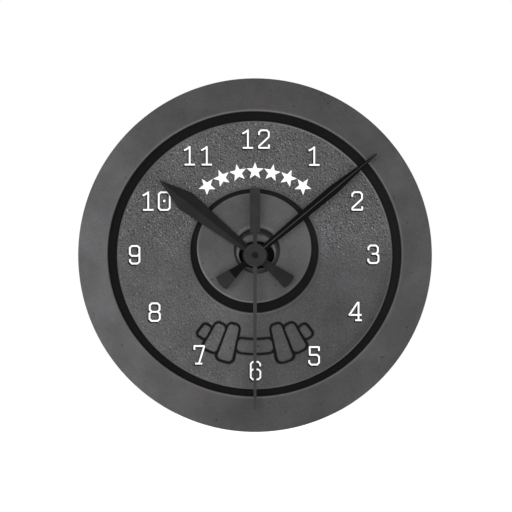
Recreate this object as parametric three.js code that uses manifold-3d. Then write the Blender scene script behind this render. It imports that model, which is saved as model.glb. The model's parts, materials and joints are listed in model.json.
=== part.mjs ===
// A round quartz wall clock. Its moulded dial is shaped like a gym weight plate, and behind it sits a square
// movement that runs on one AA cell. Every piece is its own named mesh.
//
// The clock frame used below, in millimetres: x to the viewer's right, y up, z from the wall to the viewer,
// with the hand axis at x = y = 0 and the wall at z = 0. The last lines turn it so that up is +Z and the
// face looks along -Y.

import * as THREE from "three";
import { mergeVertices } from "three/addons/utils/BufferGeometryUtils.js";
import Module from "manifold-3d";

const wasm = await Module();
wasm.setup();

// ---------------------------------------------------------------- driving dimensions

const REST_GAP = 0.05; // between pieces that rest on each other
const RUN_GAP = 0.1; // between a shaft and the hole that it turns in

// Movement case
const CASE_SIZE = 56;
const CASE_DEPTH = 16;
const CASE_CORNER = 5;
const CASE_WALL = 1.2;
const FRONT_WALL = 1.1;
const COVER_THICKNESS = 1.5;
const BAY_TOP = -11.4; // the battery bay lies below this height
const PARTITION = 1.1;

// Stack between the case and the dial
const HANGER_SHEET = 0.8;
const RUBBER_THICKNESS = 0.6;

// Dial plate
const PLATE_RADIUS = 101.6;
const PLATE_THICKNESS = 6.4;
const WEB_DROP = 0.6; // the textured field lies this far under the rim
const PAD_DROP = 0.4;
const LIP_DROP = 0.1;
const GROOVE_DEPTH = 2.4;
const LIP_GROOVE_DEPTH = 1.4;
const BORE_RADIUS = 9.05;
const LIP_RADIUS = 10.6;
const STEP_RADIUS = 13.4;
const PAD_RADIUS = 32.06;
const WEB_INNER_RADIUS = 36.38;
const WEB_OUTER_RADIUS = 77.83;
const RIM_RADIUS = 83.3;
const BORE_FLOOR = 3;
const ICON_HEIGHT = 0.7;
const ICON_RADIUS = 52.4;

// Shafts, from the inside out
const SECOND_ARBOR_RADIUS = 0.4;
const CANNON_BORE = SECOND_ARBOR_RADIUS + RUN_GAP;
const CANNON_RADIUS = 1.25;
const HOUR_PIPE_BORE = CANNON_RADIUS + RUN_GAP;
const HOUR_PIPE_RADIUS = 2.5;
const BUSHING_BORE = HOUR_PIPE_RADIUS + RUN_GAP;
const BUSHING_RADIUS = 4;

// Hands, and the time they show, in degrees clockwise from twelve
const HAND_SHEET = 0.4;
const HOUR_ANGLE = 308;
const MINUTE_ANGLE = 50.2;
const SECOND_ANGLE = 180;

// Cell
const CELL_RADIUS = 7.1;
const CELL_LENGTH = 49.2;
const CELL_HEIGHT = -19.1; // its axis
const CELL_DEPTH = 7.5;

// ---------------------------------------------------------------- derived places

const HALF_CASE = CASE_SIZE / 2;
const INNER = HALF_CASE - CASE_WALL;
const FRONT_INNER = CASE_DEPTH - FRONT_WALL;
const HANGER_Z = CASE_DEPTH + REST_GAP;
const RUBBER_Z = HANGER_Z + HANGER_SHEET + REST_GAP;
const PLATE_BACK = RUBBER_Z + RUBBER_THICKNESS + REST_GAP;
const PLATE_FRONT = PLATE_BACK + PLATE_THICKNESS;
const WEB_FRONT = PLATE_FRONT - WEB_DROP;
const BORE_Z = PLATE_BACK + BORE_FLOOR;

// The wheels: tooth counts and modules. Two meshing wheels share a module.
const TRAIN = {
  rotor: { module: 0.28, pinion: 8, wheel: 40 },
  intermediate: { module: 0.29, pinion: 8, wheel: 48 },
  second: { module: 0.22, pinion: 8, wheel: 64 },
  third: { module: (0.22 * (8 + 64)) / (8 + 60), pinion: 8, wheel: 60 },
  cannon: { module: 0.3, pinion: 12, wheel: 36 },
  minuteWork: { module: (0.3 * (12 + 36)) / (10 + 40), pinion: 10, wheel: 40 },
  setting: { module: 0.3, pinion: 12, wheel: 36 },
};
const centreDistance = ({ module, pinion, wheel }) => (module * (pinion + wheel)) / 2;
const stepFrom = ([x, y], distance, degrees) => [
  x + distance * Math.cos(THREE.MathUtils.degToRad(degrees)),
  y + distance * Math.sin(THREE.MathUtils.degToRad(degrees)),
];

// Directions between the axes, in degrees anticlockwise from +x
const SECOND_TO_THIRD = 30;
const SECOND_TO_INTERMEDIATE = 100;
const INTERMEDIATE_TO_ROTOR = 60;
const CANNON_TO_MINUTE_WORK = 150;
const MINUTE_WORK_TO_SETTING = 170;

const CENTRE = [0, 0];
const THIRD = stepFrom(CENTRE, centreDistance(TRAIN.second), SECOND_TO_THIRD);
const INTERMEDIATE = stepFrom(CENTRE, centreDistance(TRAIN.intermediate), SECOND_TO_INTERMEDIATE);
const ROTOR = stepFrom(INTERMEDIATE, centreDistance(TRAIN.rotor), INTERMEDIATE_TO_ROTOR);
const MINUTE_WORK = stepFrom(CENTRE, centreDistance(TRAIN.cannon), CANNON_TO_MINUTE_WORK);
const SETTING = stepFrom(MINUTE_WORK, centreDistance(TRAIN.setting), MINUTE_WORK_TO_SETTING);

// Posts moulded on the front case that carry the train bridge
const POSTS = [
  [-9, -7.5],
  [10.5, -7.5],
  [-8.5, 14.8],
  [12, 13.2],
];
const POST_RADIUS = 1.6;
const PEG_RADIUS = 0.8;

// Depth of each layer of the movement, as [back, front]
const BRIDGE_Z = [2.4, 3.4];
const ROTOR_MESH_Z = [4.6, 5.4];
const SECOND_MESH_Z = [6.2, 7];
const THIRD_MESH_Z = [8, 8.7];
const STATOR_Z = [9.6, 10.4];
const BOARD_Z = [11.6, 12.6];
const CENTRE_MESH_Z = [10.2, 11];
const CANNON_MESH_Z = [11.8, 12.8];
const HOUR_MESH_Z = [13.5, 14.6];
const PIVOT_BACK = 2.5;
const PIVOT_FRONT = FRONT_INNER - RUN_GAP;
const ARBOR_RADIUS = 0.4;

// ---------------------------------------------------------------- solids

// A closed geometry as a manifold-3d solid, with its faces pointing out.
function solid(geometry) {
  const bare = geometry.index ? geometry.toNonIndexed() : geometry.clone();
  bare.deleteAttribute("normal");
  bare.deleteAttribute("uv");
  const merged = mergeVertices(bare, 1e-4);
  const corners = merged.index.array;
  const kept = [];
  for (let i = 0; i < corners.length; i += 3) {
    const [a, b, c] = corners.slice(i, i + 3);
    if (a !== b && b !== c && c !== a) kept.push(a, b, c);
  }
  const vertProperties = merged.attributes.position.array;
  const make = (triVerts) =>
    new wasm.Manifold(new wasm.Mesh({ numProp: 3, vertProperties, triVerts: new Uint32Array(triVerts) }));
  const made = make(kept);
  return made.volume() < 0 ? make(kept.reverse()) : made;
}

function geometryOf(made) {
  const mesh = made.getMesh();
  const geometry = new THREE.BufferGeometry();
  geometry.setAttribute("position", new THREE.BufferAttribute(mesh.vertProperties, 3));
  geometry.setIndex(new THREE.BufferAttribute(mesh.triVerts, 1));
  geometry.computeVertexNormals();
  return geometry;
}

const union = (...solids) => solids.reduce((all, next) => all.add(next));

const box = (x, y, z) =>
  solid(
    new THREE.BoxGeometry(x[1] - x[0], y[1] - y[0], z[1] - z[0]).translate(
      (x[0] + x[1]) / 2,
      (y[0] + y[1]) / 2,
      (z[0] + z[1]) / 2,
    ),
  );

// A disc or rod along z.
const rod = ([x, y], radius, z, sides = 16) =>
  solid(
    new THREE.CylinderGeometry(radius, radius, z[1] - z[0], sides)
      .rotateX(Math.PI / 2)
      .translate(x, y, (z[0] + z[1]) / 2),
  );

const tube = (place, inner, outer, z, sides = 20) =>
  rod(place, outer, z, sides).subtract(rod(place, inner, [z[0] - 1, z[1] + 1], sides));

// A flat outline between two depths.
const prism = (shape, z, curveSegments = 6) => {
  const depth = z[1] - z[0];
  const geometry = new THREE.ExtrudeGeometry(shape, { depth, bevelEnabled: false, curveSegments });
  return solid(geometry.translate(0, 0, z[0]));
};

const outline = (points) => new THREE.Shape(points.map(([x, y]) => new THREE.Vector2(x, y)));

// A closed profile of [radius, z] turned about the z axis.
const turned = (profile, sides) =>
  new THREE.LatheGeometry(
    [...profile, profile[0]].map(([radius, z]) => new THREE.Vector2(radius, z)),
    sides,
  ).rotateX(Math.PI / 2);

function roundedRectangle(x, y, radius) {
  const shape = new THREE.Shape();
  shape.absarc(x[1] - radius, y[0] + radius, radius, -Math.PI / 2, 0);
  shape.absarc(x[1] - radius, y[1] - radius, radius, 0, Math.PI / 2);
  shape.absarc(x[0] + radius, y[1] - radius, radius, Math.PI / 2, Math.PI);
  shape.absarc(x[0] + radius, y[0] + radius, radius, Math.PI, 1.5 * Math.PI);
  return shape;
}

const clock = new THREE.Group();

function add(name, made, material) {
  const mesh = new THREE.Mesh(geometryOf(made), material);
  mesh.name = name;
  clock.add(mesh);
}

// ---------------------------------------------------------------- materials

const material = (color, roughness, metalness = 0) =>
  new THREE.MeshStandardMaterial({ color, roughness, metalness, flatShading: true });

const CAST_GREY = material(0x58585a, 0.6);
const HAND_BLACK = material(0x1b1b1d, 0.4, 0.2);
const SECOND_GREY = material(0x343436, 0.45, 0.2);
const CASE_BLACK = material(0x1e1f21, 0.55);
const WHEEL_WHITE = material(0xe8e6df, 0.5);
const WHEEL_GREEN = material(0x6fa58a, 0.5);
const BRASS = material(0xb8944d, 0.35, 0.9);
const STEEL = material(0xa9adb2, 0.35, 0.9);
const BLACK_STEEL = material(0x26272a, 0.4, 0.7);
const RUBBER = material(0x151515, 0.85);
const COPPER = material(0xb06a3a, 0.35, 0.9);
const BOARD_BROWN = material(0x8a6a3c, 0.6);
const MAGNET_GREY = material(0x3f4246, 0.5, 0.5);
const CELL_WRAP = material(0x2c5f8a, 0.35);

// ---------------------------------------------------------------- dial plate

// The rings of the casting aren't quite concentric, nor quite round. Each row says how far a ring's centre
// lies to the right of the hand axis and above it, and how much it is stretched sideways and squeezed
// upwards. Radii between two rows share it out.
const BUSHING_HOLE = BUSHING_RADIUS + 0.2;
const RINGS = [
  { radius: BUSHING_HOLE, right: 0, up: 0, stretch: 0 },
  { radius: BORE_RADIUS, right: 1, up: 0, stretch: 0.127 },
  { radius: LIP_RADIUS, right: 0.6, up: 1.9, stretch: 0.057 },
  { radius: STEP_RADIUS, right: 1.2, up: 2.65, stretch: 0 },
  { radius: PAD_RADIUS, right: -0.56, up: 4.2, stretch: 0.02 },
  { radius: WEB_INNER_RADIUS, right: -0.3, up: 2.37, stretch: 0.017 },
  { radius: WEB_OUTER_RADIUS, right: -0.2, up: 0, stretch: 0.013 },
  { radius: RIM_RADIUS, right: -0.26, up: 0.77, stretch: 0.015 },
  { radius: PLATE_RADIUS - 4, right: 0, up: 0, stretch: 0 },
];

function onRings(x, y) {
  const radius = Math.hypot(x, y);
  const next = RINGS.findIndex((ring) => radius < ring.radius);
  if (next <= 0) return [x, y];
  const [inner, outer] = [RINGS[next - 1], RINGS[next]];
  const share = (radius - inner.radius) / (outer.radius - inner.radius);
  const between = (key) => THREE.MathUtils.lerp(inner[key], outer[key], share);
  const stretch = between("stretch");
  return [x * (1 + stretch) + between("right"), y * (1 - stretch) + between("up")];
}

function platePiece() {
  const wall = 0.6; // how far a groove's wall leans
  const padFront = PLATE_FRONT - PAD_DROP;
  const lipFront = PLATE_FRONT - LIP_DROP;
  const grooveFloor = PLATE_FRONT - GROOVE_DEPTH;
  const lipGrooveFloor = padFront - LIP_GROOVE_DEPTH;
  const geometry = turned(
    [
      [BUSHING_HOLE, PLATE_BACK],
      [PLATE_RADIUS - 0.8, PLATE_BACK],
      [PLATE_RADIUS, PLATE_BACK + 0.8],
      [PLATE_RADIUS, PLATE_FRONT - 1.6],
      [PLATE_RADIUS - 0.5, PLATE_FRONT - 0.5],
      [PLATE_RADIUS - 1.8, PLATE_FRONT],
      [RIM_RADIUS, PLATE_FRONT],
      [RIM_RADIUS - wall, grooveFloor],
      [WEB_OUTER_RADIUS + wall, grooveFloor],
      [WEB_OUTER_RADIUS, WEB_FRONT],
      [WEB_INNER_RADIUS, WEB_FRONT],
      [WEB_INNER_RADIUS - wall, grooveFloor],
      [PAD_RADIUS + wall, grooveFloor],
      [PAD_RADIUS, padFront],
      [STEP_RADIUS, padFront],
      [STEP_RADIUS - wall, lipGrooveFloor],
      [LIP_RADIUS + wall / 2, lipGrooveFloor],
      [LIP_RADIUS, lipFront],
      [BORE_RADIUS + wall, lipFront],
      [BORE_RADIUS, lipFront - wall],
      [BORE_RADIUS, BORE_Z],
      [BUSHING_HOLE, BORE_Z],
    ],
    60,
  );
  const position = geometry.attributes.position;
  for (let i = 0; i < position.count; i++) {
    const [x, y] = onRings(position.getX(i), position.getY(i));
    position.setXY(i, x, y);
  }
  return union(solid(geometry), ...weightIcon());
}

// A raised dumbbell sign, bent along the lower half of the dial: blocks of [from, to] degrees either side of
// six o'clock and their height.
const ICON_BLOCKS = [
  { from: 12.5, to: 20.5, height: 21 },
  { from: 22, to: 29.5, height: 16 },
  { from: 31, to: 36, height: 7 },
];
const ICON_HANDLE = { from: -11, to: 11, height: 7 };

function weightIcon() {
  const block = ({ from, to, height }) => {
    const [a, b] = [from, to].map((degrees) => THREE.MathUtils.degToRad(degrees - 90));
    const shape = new THREE.Shape();
    shape.absarc(0, 0, ICON_RADIUS + height / 2, a, b, false);
    shape.absarc(0, 0, ICON_RADIUS - height / 2, b, a, true);
    return prism(shape, [WEB_FRONT - 0.4, WEB_FRONT + ICON_HEIGHT], 4);
  };
  const mirrored = ICON_BLOCKS.map(({ from, to, height }) => ({ from: -to, to: -from, height }));
  return [ICON_HANDLE, ...ICON_BLOCKS, ...mirrored].map(block);
}

add("dial_plate", platePiece(), CAST_GREY);

// ---------------------------------------------------------------- dial fixing

const WASHER_THICKNESS = 0.4;
const NUT_THICKNESS = 2.2;
const NUT_CORNER_RADIUS = 6.35;
const washerZ = BORE_Z + REST_GAP;
const nutZ = washerZ + WASHER_THICKNESS + REST_GAP;

add("dial_washer", tube(CENTRE, BUSHING_RADIUS + 0.15, 7.4, [washerZ, washerZ + WASHER_THICKNESS]), STEEL);
add(
  "dial_nut",
  rod(CENTRE, NUT_CORNER_RADIUS, [nutZ, nutZ + NUT_THICKNESS], 6).subtract(
    rod(CENTRE, BUSHING_RADIUS + RUN_GAP, [nutZ - 1, nutZ + NUT_THICKNESS + 1], 24),
  ),
  BLACK_STEEL,
);
add("rubber_washer", tube(CENTRE, BUSHING_HOLE, 11, [RUBBER_Z, RUBBER_Z + RUBBER_THICKNESS]), RUBBER);

// The bushing's wide foot is pressed into the front wall, and its threaded neck passes through the dial.
const BUSHING_FOOT_RADIUS = 5;
const BUSHING_FRONT = PLATE_FRONT - 0.2;
add(
  "threaded_bushing",
  union(
    rod(CENTRE, BUSHING_FOOT_RADIUS, [FRONT_INNER + REST_GAP, CASE_DEPTH - REST_GAP], 24),
    rod(CENTRE, BUSHING_RADIUS, [FRONT_INNER + REST_GAP, BUSHING_FRONT], 24),
  ).subtract(rod(CENTRE, BUSHING_BORE, [FRONT_INNER - 1, BUSHING_FRONT + 1], 24)),
  BRASS,
);

// ---------------------------------------------------------------- hanger

// A bent strip: clamped between the case and the dial, folded back over the case's top, then up to a keyhole.
const HANGER_HALF_WIDTH = 11;
const HANGER_FOLD_Y = HALF_CASE + 0.6;
const HANGER_TOP_Y = 47;
const HANGER_BACK_Z = 4.4;
const KEYHOLE_Y = 36.5;
const KEYHOLE_RADIUS = 4.6;
const KEYHOLE_SLOT_RADIUS = 2.4;
const KEYHOLE_SLOT_Y = 42;

function hangerPiece() {
  const clampFront = HANGER_Z + HANGER_SHEET;
  const clamp = prism(
    roundedRectangle([-HANGER_HALF_WIDTH, HANGER_HALF_WIDTH], [-11, HANGER_FOLD_Y + HANGER_SHEET], 0.3),
    [HANGER_Z, clampFront],
    1,
  );
  const shelf = box(
    [-HANGER_HALF_WIDTH, HANGER_HALF_WIDTH],
    [HANGER_FOLD_Y, HANGER_FOLD_Y + HANGER_SHEET],
    [HANGER_BACK_Z, clampFront],
  );
  const tab = prism(
    roundedRectangle([-HANGER_HALF_WIDTH, HANGER_HALF_WIDTH], [HANGER_FOLD_Y, HANGER_TOP_Y], 0.3),
    [HANGER_BACK_Z, HANGER_BACK_Z + HANGER_SHEET],
  );
  const through = [HANGER_BACK_Z - 1, HANGER_BACK_Z + HANGER_SHEET + 1];
  const keyhole = union(
    rod([0, KEYHOLE_Y], KEYHOLE_RADIUS, through, 20),
    rod([0, KEYHOLE_SLOT_Y], KEYHOLE_SLOT_RADIUS, through, 16),
    box([-KEYHOLE_SLOT_RADIUS, KEYHOLE_SLOT_RADIUS], [KEYHOLE_Y, KEYHOLE_SLOT_Y], through),
  );
  const bushingHole = rod(CENTRE, BUSHING_HOLE, [HANGER_Z - 1, clampFront + 1], 24);
  return union(clamp, shelf, tab).subtract(keyhole).subtract(bushingHole);
}

add("hanger_bracket", hangerPiece(), STEEL);

// ---------------------------------------------------------------- movement case

const KNOB_RADIUS = 7;
const SETTING_ARBOR_RADIUS = 1.1;
const WELL_RADIUS = 7.8;
const WELL_WALL = 1;
const WELL_FLOOR_Z = 3.4; // the well's floor, where the knob turns
const CLIP_HEIGHTS = [18, -2];
const CLIP_HALF_WIDTH = 2;
const sides = [-1, 1];
const MINUTE_WORK_STUD = 0.8;

// Places on the front wall where the board and the stator rest, as [x, y, back].
const RESTS = [
  [18, -7, BOARD_Z[1]],
  [24.5, 15, BOARD_Z[1]],
  [-13.1, 12, STATOR_Z[1]],
  [8, 16.5, STATOR_Z[1]],
];

// Battery contacts: a strip stands at each end of the bay, and each reaches the board through the partition.
const CONTACT_X = 25.95;
const CONTACT_SHEET = 0.3;
const TONGUE_Z = [11, 12.9];
const TAB_X = [19.7, 21.3];
const TAB_Z = [BOARD_Z[1] + REST_GAP, BOARD_Z[1] + 0.4];

function frontCasePiece() {
  const whole = prism(
    roundedRectangle([-HALF_CASE, HALF_CASE], [-HALF_CASE, HALF_CASE], CASE_CORNER),
    [0, CASE_DEPTH],
    4,
  );
  const innerCorner = CASE_CORNER - CASE_WALL;
  const hollow = prism(roundedRectangle([-INNER, INNER], [-INNER, INNER], innerCorner), [-1, FRONT_INNER], 4);
  const partition = box(
    [-INNER - 0.1, INNER + 0.1],
    [BAY_TOP, BAY_TOP + PARTITION],
    [COVER_THICKNESS + REST_GAP, FRONT_INNER + 0.1],
  );
  const posts = POSTS.flatMap((place) => [
    rod(place, POST_RADIUS, [BRIDGE_Z[1] + REST_GAP, FRONT_INNER + 0.1], 8),
    rod(place, PEG_RADIUS, [BRIDGE_Z[0] - 0.2, FRONT_INNER], 8),
  ]);
  const bearing = (place, back, wall, shaft = ARBOR_RADIUS) =>
    rod(place, shaft + wall, [back, FRONT_INNER + 0.1], 12).subtract(
      rod(place, shaft + RUN_GAP, [back - 1, FRONT_INNER], 12),
    );
  const bearings = [
    bearing(THIRD, 13.9, 0.7),
    bearing(INTERMEDIATE, 13.9, 0.7),
    bearing(ROTOR, 11.6, 0.9),
    bearing(SETTING, 13.6, 0.9, SETTING_ARBOR_RADIUS),
    rod(MINUTE_WORK, MINUTE_WORK_STUD, [11.2, FRONT_INNER + 0.1], 12),
  ];
  const rests = RESTS.map(([x, y, back]) => rod([x, y], 1, [back + REST_GAP, FRONT_INNER + 0.1], 8));
  const bushingHole = rod(CENTRE, BUSHING_FOOT_RADIUS + REST_GAP, [FRONT_INNER - 1, CASE_DEPTH + 1], 24);
  const clipWindows = sides.flatMap((side) =>
    CLIP_HEIGHTS.map((y) =>
      box(
        [side * (HALF_CASE - 0.6) - 1.4, side * (HALF_CASE - 0.6) + 1.4],
        [y - CLIP_HALF_WIDTH - 0.4, y + CLIP_HALF_WIDTH + 0.4],
        [4.2, 6.3],
      ),
    ),
  );
  const fingerNotch = box([-8, 8], [-HALF_CASE - 1, -INNER + 0.1], [-1, 5]);
  const throughPartition = [BAY_TOP - 1, BAY_TOP + PARTITION + 1];
  const contactNotches = [
    box([CONTACT_X - 0.3, CONTACT_X + 0.3], throughPartition, [TONGUE_Z[0] - 0.2, TONGUE_Z[1] + 0.2]),
    box([TAB_X[0] - 0.2, TAB_X[1] + 0.2], throughPartition, [TAB_Z[0] - 0.2, TAB_Z[1] + 0.2]),
  ];
  return union(whole.subtract(hollow), partition, ...posts, ...bearings, ...rests).subtract(
    union(bushingHole, fingerNotch, ...clipWindows, ...contactNotches),
  );
}

function rearCoverPiece() {
  const edge = INNER - 0.1;
  const plate = prism(
    roundedRectangle([-edge, edge], [-edge, edge], CASE_CORNER - CASE_WALL - 0.1),
    [0, COVER_THICKNESS],
    4,
  ).intersect(box([-edge - 1, edge + 1], [BAY_TOP, edge + 1], [-1, COVER_THICKNESS + 1]));
  const well = rod(SETTING, WELL_RADIUS + WELL_WALL, [0.2, WELL_FLOOR_Z + WELL_WALL], 32);
  const wellHollow = rod(SETTING, WELL_RADIUS, [-1, WELL_FLOOR_Z], 32);
  const arborHole = rod(SETTING, SETTING_ARBOR_RADIUS + RUN_GAP, [-1, WELL_FLOOR_Z + 2], 16);
  const clips = sides.flatMap((side) =>
    CLIP_HEIGHTS.flatMap((y) => [
      box(
        [side * (edge - 0.6) - 0.5, side * (edge - 0.6) + 0.5],
        [y - CLIP_HALF_WIDTH, y + CLIP_HALF_WIDTH],
        [COVER_THICKNESS - 0.2, 6.2],
      ),
      box(
        [side * edge - 0.6, side * edge + 0.6],
        [y - CLIP_HALF_WIDTH, y + CLIP_HALF_WIDTH],
        [4.5, 5.9],
      ),
    ]),
  );
  return union(plate, well, ...clips).subtract(union(wellHollow, arborHole));
}

add("front_case", frontCasePiece(), CASE_BLACK);
add("rear_cover", rearCoverPiece(), CASE_BLACK);

// The bridge carries the back pivots. It is cut away round the knob's well.
function trainBridgePiece() {
  const plate = prism(roundedRectangle([-11.5, 15.8], [-10, 17.5], 2.5), BRIDGE_Z, 4);
  const through = [BRIDGE_Z[0] - 1, BRIDGE_Z[1] + 1];
  const pegHoles = POSTS.map((place) => rod(place, PEG_RADIUS + RUN_GAP, through, 8));
  const pivotHole = (place) => rod(place, ARBOR_RADIUS + RUN_GAP, through, 12);
  const pivotHoles = [THIRD, INTERMEDIATE, ROTOR].map(pivotHole);
  const secondHole = rod(CENTRE, SECOND_ARBOR_RADIUS + RUN_GAP, through, 12);
  const wellClearance = rod(SETTING, WELL_RADIUS + WELL_WALL + 0.5, through, 32);
  return plate.subtract(union(...pegHoles, ...pivotHoles, secondHole, wellClearance));
}

add("train_bridge", trainBridgePiece(), CASE_BLACK);

// ---------------------------------------------------------------- wheels

// One tooth's corners, as [height over the pitch line in modules, share of the pitch filled at that height].
const WHEEL_TOOTH = [
  [-1.6, -1],
  [0.75, -0.2],
  [0.75, 0.2],
];
const PINION_TOOTH = [
  [-1.15, -0.36],
  [0, -0.4],
  [0.75, -0.16],
  [0.75, 0.16],
  [0, 0.4],
  [-1.15, 0.36],
];

// A toothed disc whose first tooth points at `phase` radians, anticlockwise from +x.
function toothed(place, teeth, module, phase, z) {
  const corners = teeth < 20 ? PINION_TOOTH : WHEEL_TOOTH;
  const pitch = (2 * Math.PI) / teeth;
  const points = [];
  for (let tooth = 0; tooth < teeth; tooth++)
    for (const [height, share] of corners) {
      const r = (module * teeth) / 2 + height * module;
      const angle = phase + (tooth + share / 2) * pitch;
      points.push([place[0] + r * Math.cos(angle), place[1] + r * Math.sin(angle)]);
    }
  return prism(outline(points), z);
}

// The phase that puts a wheel in mesh with a neighbour whose own phase is known.
function meshedPhase(neighbour, neighbourTeeth, neighbourPhase, place, teeth) {
  const direction = Math.atan2(place[1] - neighbour[1], place[0] - neighbour[0]);
  const turns = ((direction - neighbourPhase) * neighbourTeeth) / (2 * Math.PI);
  return direction + Math.PI - ((0.5 - turns) * 2 * Math.PI) / teeth;
}

const spokes = (place, inner, outer, z, count) =>
  Array.from({ length: count }, (_, i) => {
    const shape = new THREE.Shape();
    const [a, b] = [i + 0.14, i + 0.86].map((turn) => (turn * 2 * Math.PI) / count);
    shape.absarc(place[0], place[1], outer, a, b, false);
    shape.absarc(place[0], place[1], inner, b, a, true);
    return prism(shape, [z[0] - 1, z[1] + 1], 3);
  });

const arbor = (place, z, radius = ARBOR_RADIUS) => rod(place, radius, z, 12);

// The second wheel's phase is free; every other phase follows from it or from the cannon pinion's.
const secondPhase = 0;
const intermediateMeshes = {
  pinion: meshedPhase(CENTRE, TRAIN.intermediate.wheel, secondPhase, INTERMEDIATE, TRAIN.intermediate.pinion),
  wheel: 0,
};
const rotorPhase = meshedPhase(
  INTERMEDIATE,
  TRAIN.rotor.wheel,
  intermediateMeshes.wheel,
  ROTOR,
  TRAIN.rotor.pinion,
);
const thirdMeshes = {
  wheel: meshedPhase(CENTRE, TRAIN.second.pinion, secondPhase, THIRD, TRAIN.second.wheel),
  pinion: 0,
};
const centrePhase = meshedPhase(THIRD, TRAIN.third.pinion, thirdMeshes.pinion, CENTRE, TRAIN.third.wheel);
const cannonPhase = 0;
const minuteWorkMeshes = {
  wheel: meshedPhase(CENTRE, TRAIN.cannon.pinion, cannonPhase, MINUTE_WORK, TRAIN.cannon.wheel),
  pinion: 0,
};
const hourPhase = meshedPhase(
  MINUTE_WORK,
  TRAIN.minuteWork.pinion,
  minuteWorkMeshes.pinion,
  CENTRE,
  TRAIN.minuteWork.wheel,
);
const settingPhase = meshedPhase(
  MINUTE_WORK,
  TRAIN.cannon.wheel,
  minuteWorkMeshes.wheel,
  SETTING,
  TRAIN.setting.pinion,
);

const ROTOR_SEAT_RADIUS = 0.95;
const MAGNET_RADIUS = 3;
const MAGNET_Z = [8.9, 11];
add(
  "rotor_pinion",
  union(
    arbor(ROTOR, [PIVOT_BACK, 12.6]),
    toothed(ROTOR, TRAIN.rotor.pinion, TRAIN.rotor.module, rotorPhase, [4.3, 5.7]),
    rod(ROTOR, ROTOR_SEAT_RADIUS, MAGNET_Z, 12),
  ),
  WHEEL_WHITE,
);
add("rotor_magnet", tube(ROTOR, ROTOR_SEAT_RADIUS + REST_GAP, MAGNET_RADIUS, MAGNET_Z), MAGNET_GREY);

add(
  "intermediate_wheel",
  union(
    arbor(INTERMEDIATE, [PIVOT_BACK, PIVOT_FRONT]),
    toothed(
      INTERMEDIATE,
      TRAIN.rotor.wheel,
      TRAIN.rotor.module,
      intermediateMeshes.wheel,
      ROTOR_MESH_Z,
    ).subtract(union(...spokes(INTERMEDIATE, 1.7, 4.3, ROTOR_MESH_Z, 4))),
    toothed(
      INTERMEDIATE,
      TRAIN.intermediate.pinion,
      TRAIN.intermediate.module,
      intermediateMeshes.pinion,
      [ROTOR_MESH_Z[1] - 0.1, SECOND_MESH_Z[1] + 0.3],
    ),
  ),
  WHEEL_WHITE,
);

add(
  "second_wheel",
  union(
    toothed(CENTRE, TRAIN.intermediate.wheel, TRAIN.intermediate.module, secondPhase, SECOND_MESH_Z).subtract(
      union(...spokes(CENTRE, 1.9, 5.6, SECOND_MESH_Z, 4)),
    ),
    toothed(CENTRE, TRAIN.second.pinion, TRAIN.second.module, secondPhase, [
      SECOND_MESH_Z[1] - 0.1,
      THIRD_MESH_Z[1] + 0.5,
    ]),
    rod(CENTRE, 1.1, [SECOND_MESH_Z[0] - 1.2, SECOND_MESH_Z[1]], 16),
  ).subtract(rod(CENTRE, SECOND_ARBOR_RADIUS + REST_GAP, [4, 12], 12)),
  WHEEL_GREEN,
);
const SECOND_ARBOR_FRONT = PLATE_FRONT + 4.9;
add("second_arbor", arbor(CENTRE, [PIVOT_BACK, SECOND_ARBOR_FRONT], SECOND_ARBOR_RADIUS), STEEL);

add(
  "third_wheel",
  union(
    arbor(THIRD, [PIVOT_BACK, PIVOT_FRONT]),
    toothed(THIRD, TRAIN.second.wheel, TRAIN.second.module, thirdMeshes.wheel, THIRD_MESH_Z).subtract(
      union(...spokes(THIRD, 1.8, 5.6, THIRD_MESH_Z, 4)),
    ),
    toothed(THIRD, TRAIN.third.pinion, TRAIN.third.module, thirdMeshes.pinion, [
      THIRD_MESH_Z[1] - 0.1,
      CENTRE_MESH_Z[1] + 0.3,
    ]),
  ),
  WHEEL_WHITE,
);

add(
  "centre_wheel",
  toothed(CENTRE, TRAIN.third.wheel, TRAIN.third.module, centrePhase, CENTRE_MESH_Z)
    .subtract(union(...spokes(CENTRE, 2.6, 5.5, CENTRE_MESH_Z, 5)))
    .subtract(rod(CENTRE, CANNON_RADIUS + REST_GAP, [9, 12], 16)),
  WHEEL_GREEN,
);

const CANNON_FRONT = PLATE_FRONT + 3.3;
add(
  "cannon_pinion",
  union(
    rod(CENTRE, CANNON_RADIUS, [CENTRE_MESH_Z[0] - 0.3, CANNON_FRONT], 16),
    toothed(CENTRE, TRAIN.cannon.pinion, TRAIN.cannon.module, cannonPhase, [
      CENTRE_MESH_Z[1] + 0.3,
      CANNON_MESH_Z[1] + 0.3,
    ]),
  ).subtract(rod(CENTRE, CANNON_BORE, [5, CANNON_FRONT + 1], 12)),
  BRASS,
);

add(
  "minute_work_wheel",
  union(
    toothed(MINUTE_WORK, TRAIN.cannon.wheel, TRAIN.cannon.module, minuteWorkMeshes.wheel, CANNON_MESH_Z),
    toothed(MINUTE_WORK, TRAIN.minuteWork.pinion, TRAIN.minuteWork.module, minuteWorkMeshes.pinion, [
      CANNON_MESH_Z[1] - 0.1,
      FRONT_INNER - 0.2,
    ]),
  ).subtract(rod(MINUTE_WORK, MINUTE_WORK_STUD + RUN_GAP, [10, FRONT_INNER], 12)),
  WHEEL_WHITE,
);

const HOUR_PIPE_FRONT = PLATE_FRONT + 1.5;
add(
  "hour_wheel",
  union(
    toothed(CENTRE, TRAIN.minuteWork.wheel, TRAIN.minuteWork.module, hourPhase, HOUR_MESH_Z),
    rod(CENTRE, HOUR_PIPE_RADIUS, [HOUR_MESH_Z[0], HOUR_PIPE_FRONT], 24),
  ).subtract(rod(CENTRE, HOUR_PIPE_BORE, [10, HOUR_PIPE_FRONT + 1], 16)),
  WHEEL_GREEN,
);

// ---------------------------------------------------------------- time setting

const KNOB_Z = [0.5, 3.1];
const KNURLS = 24;

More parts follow.
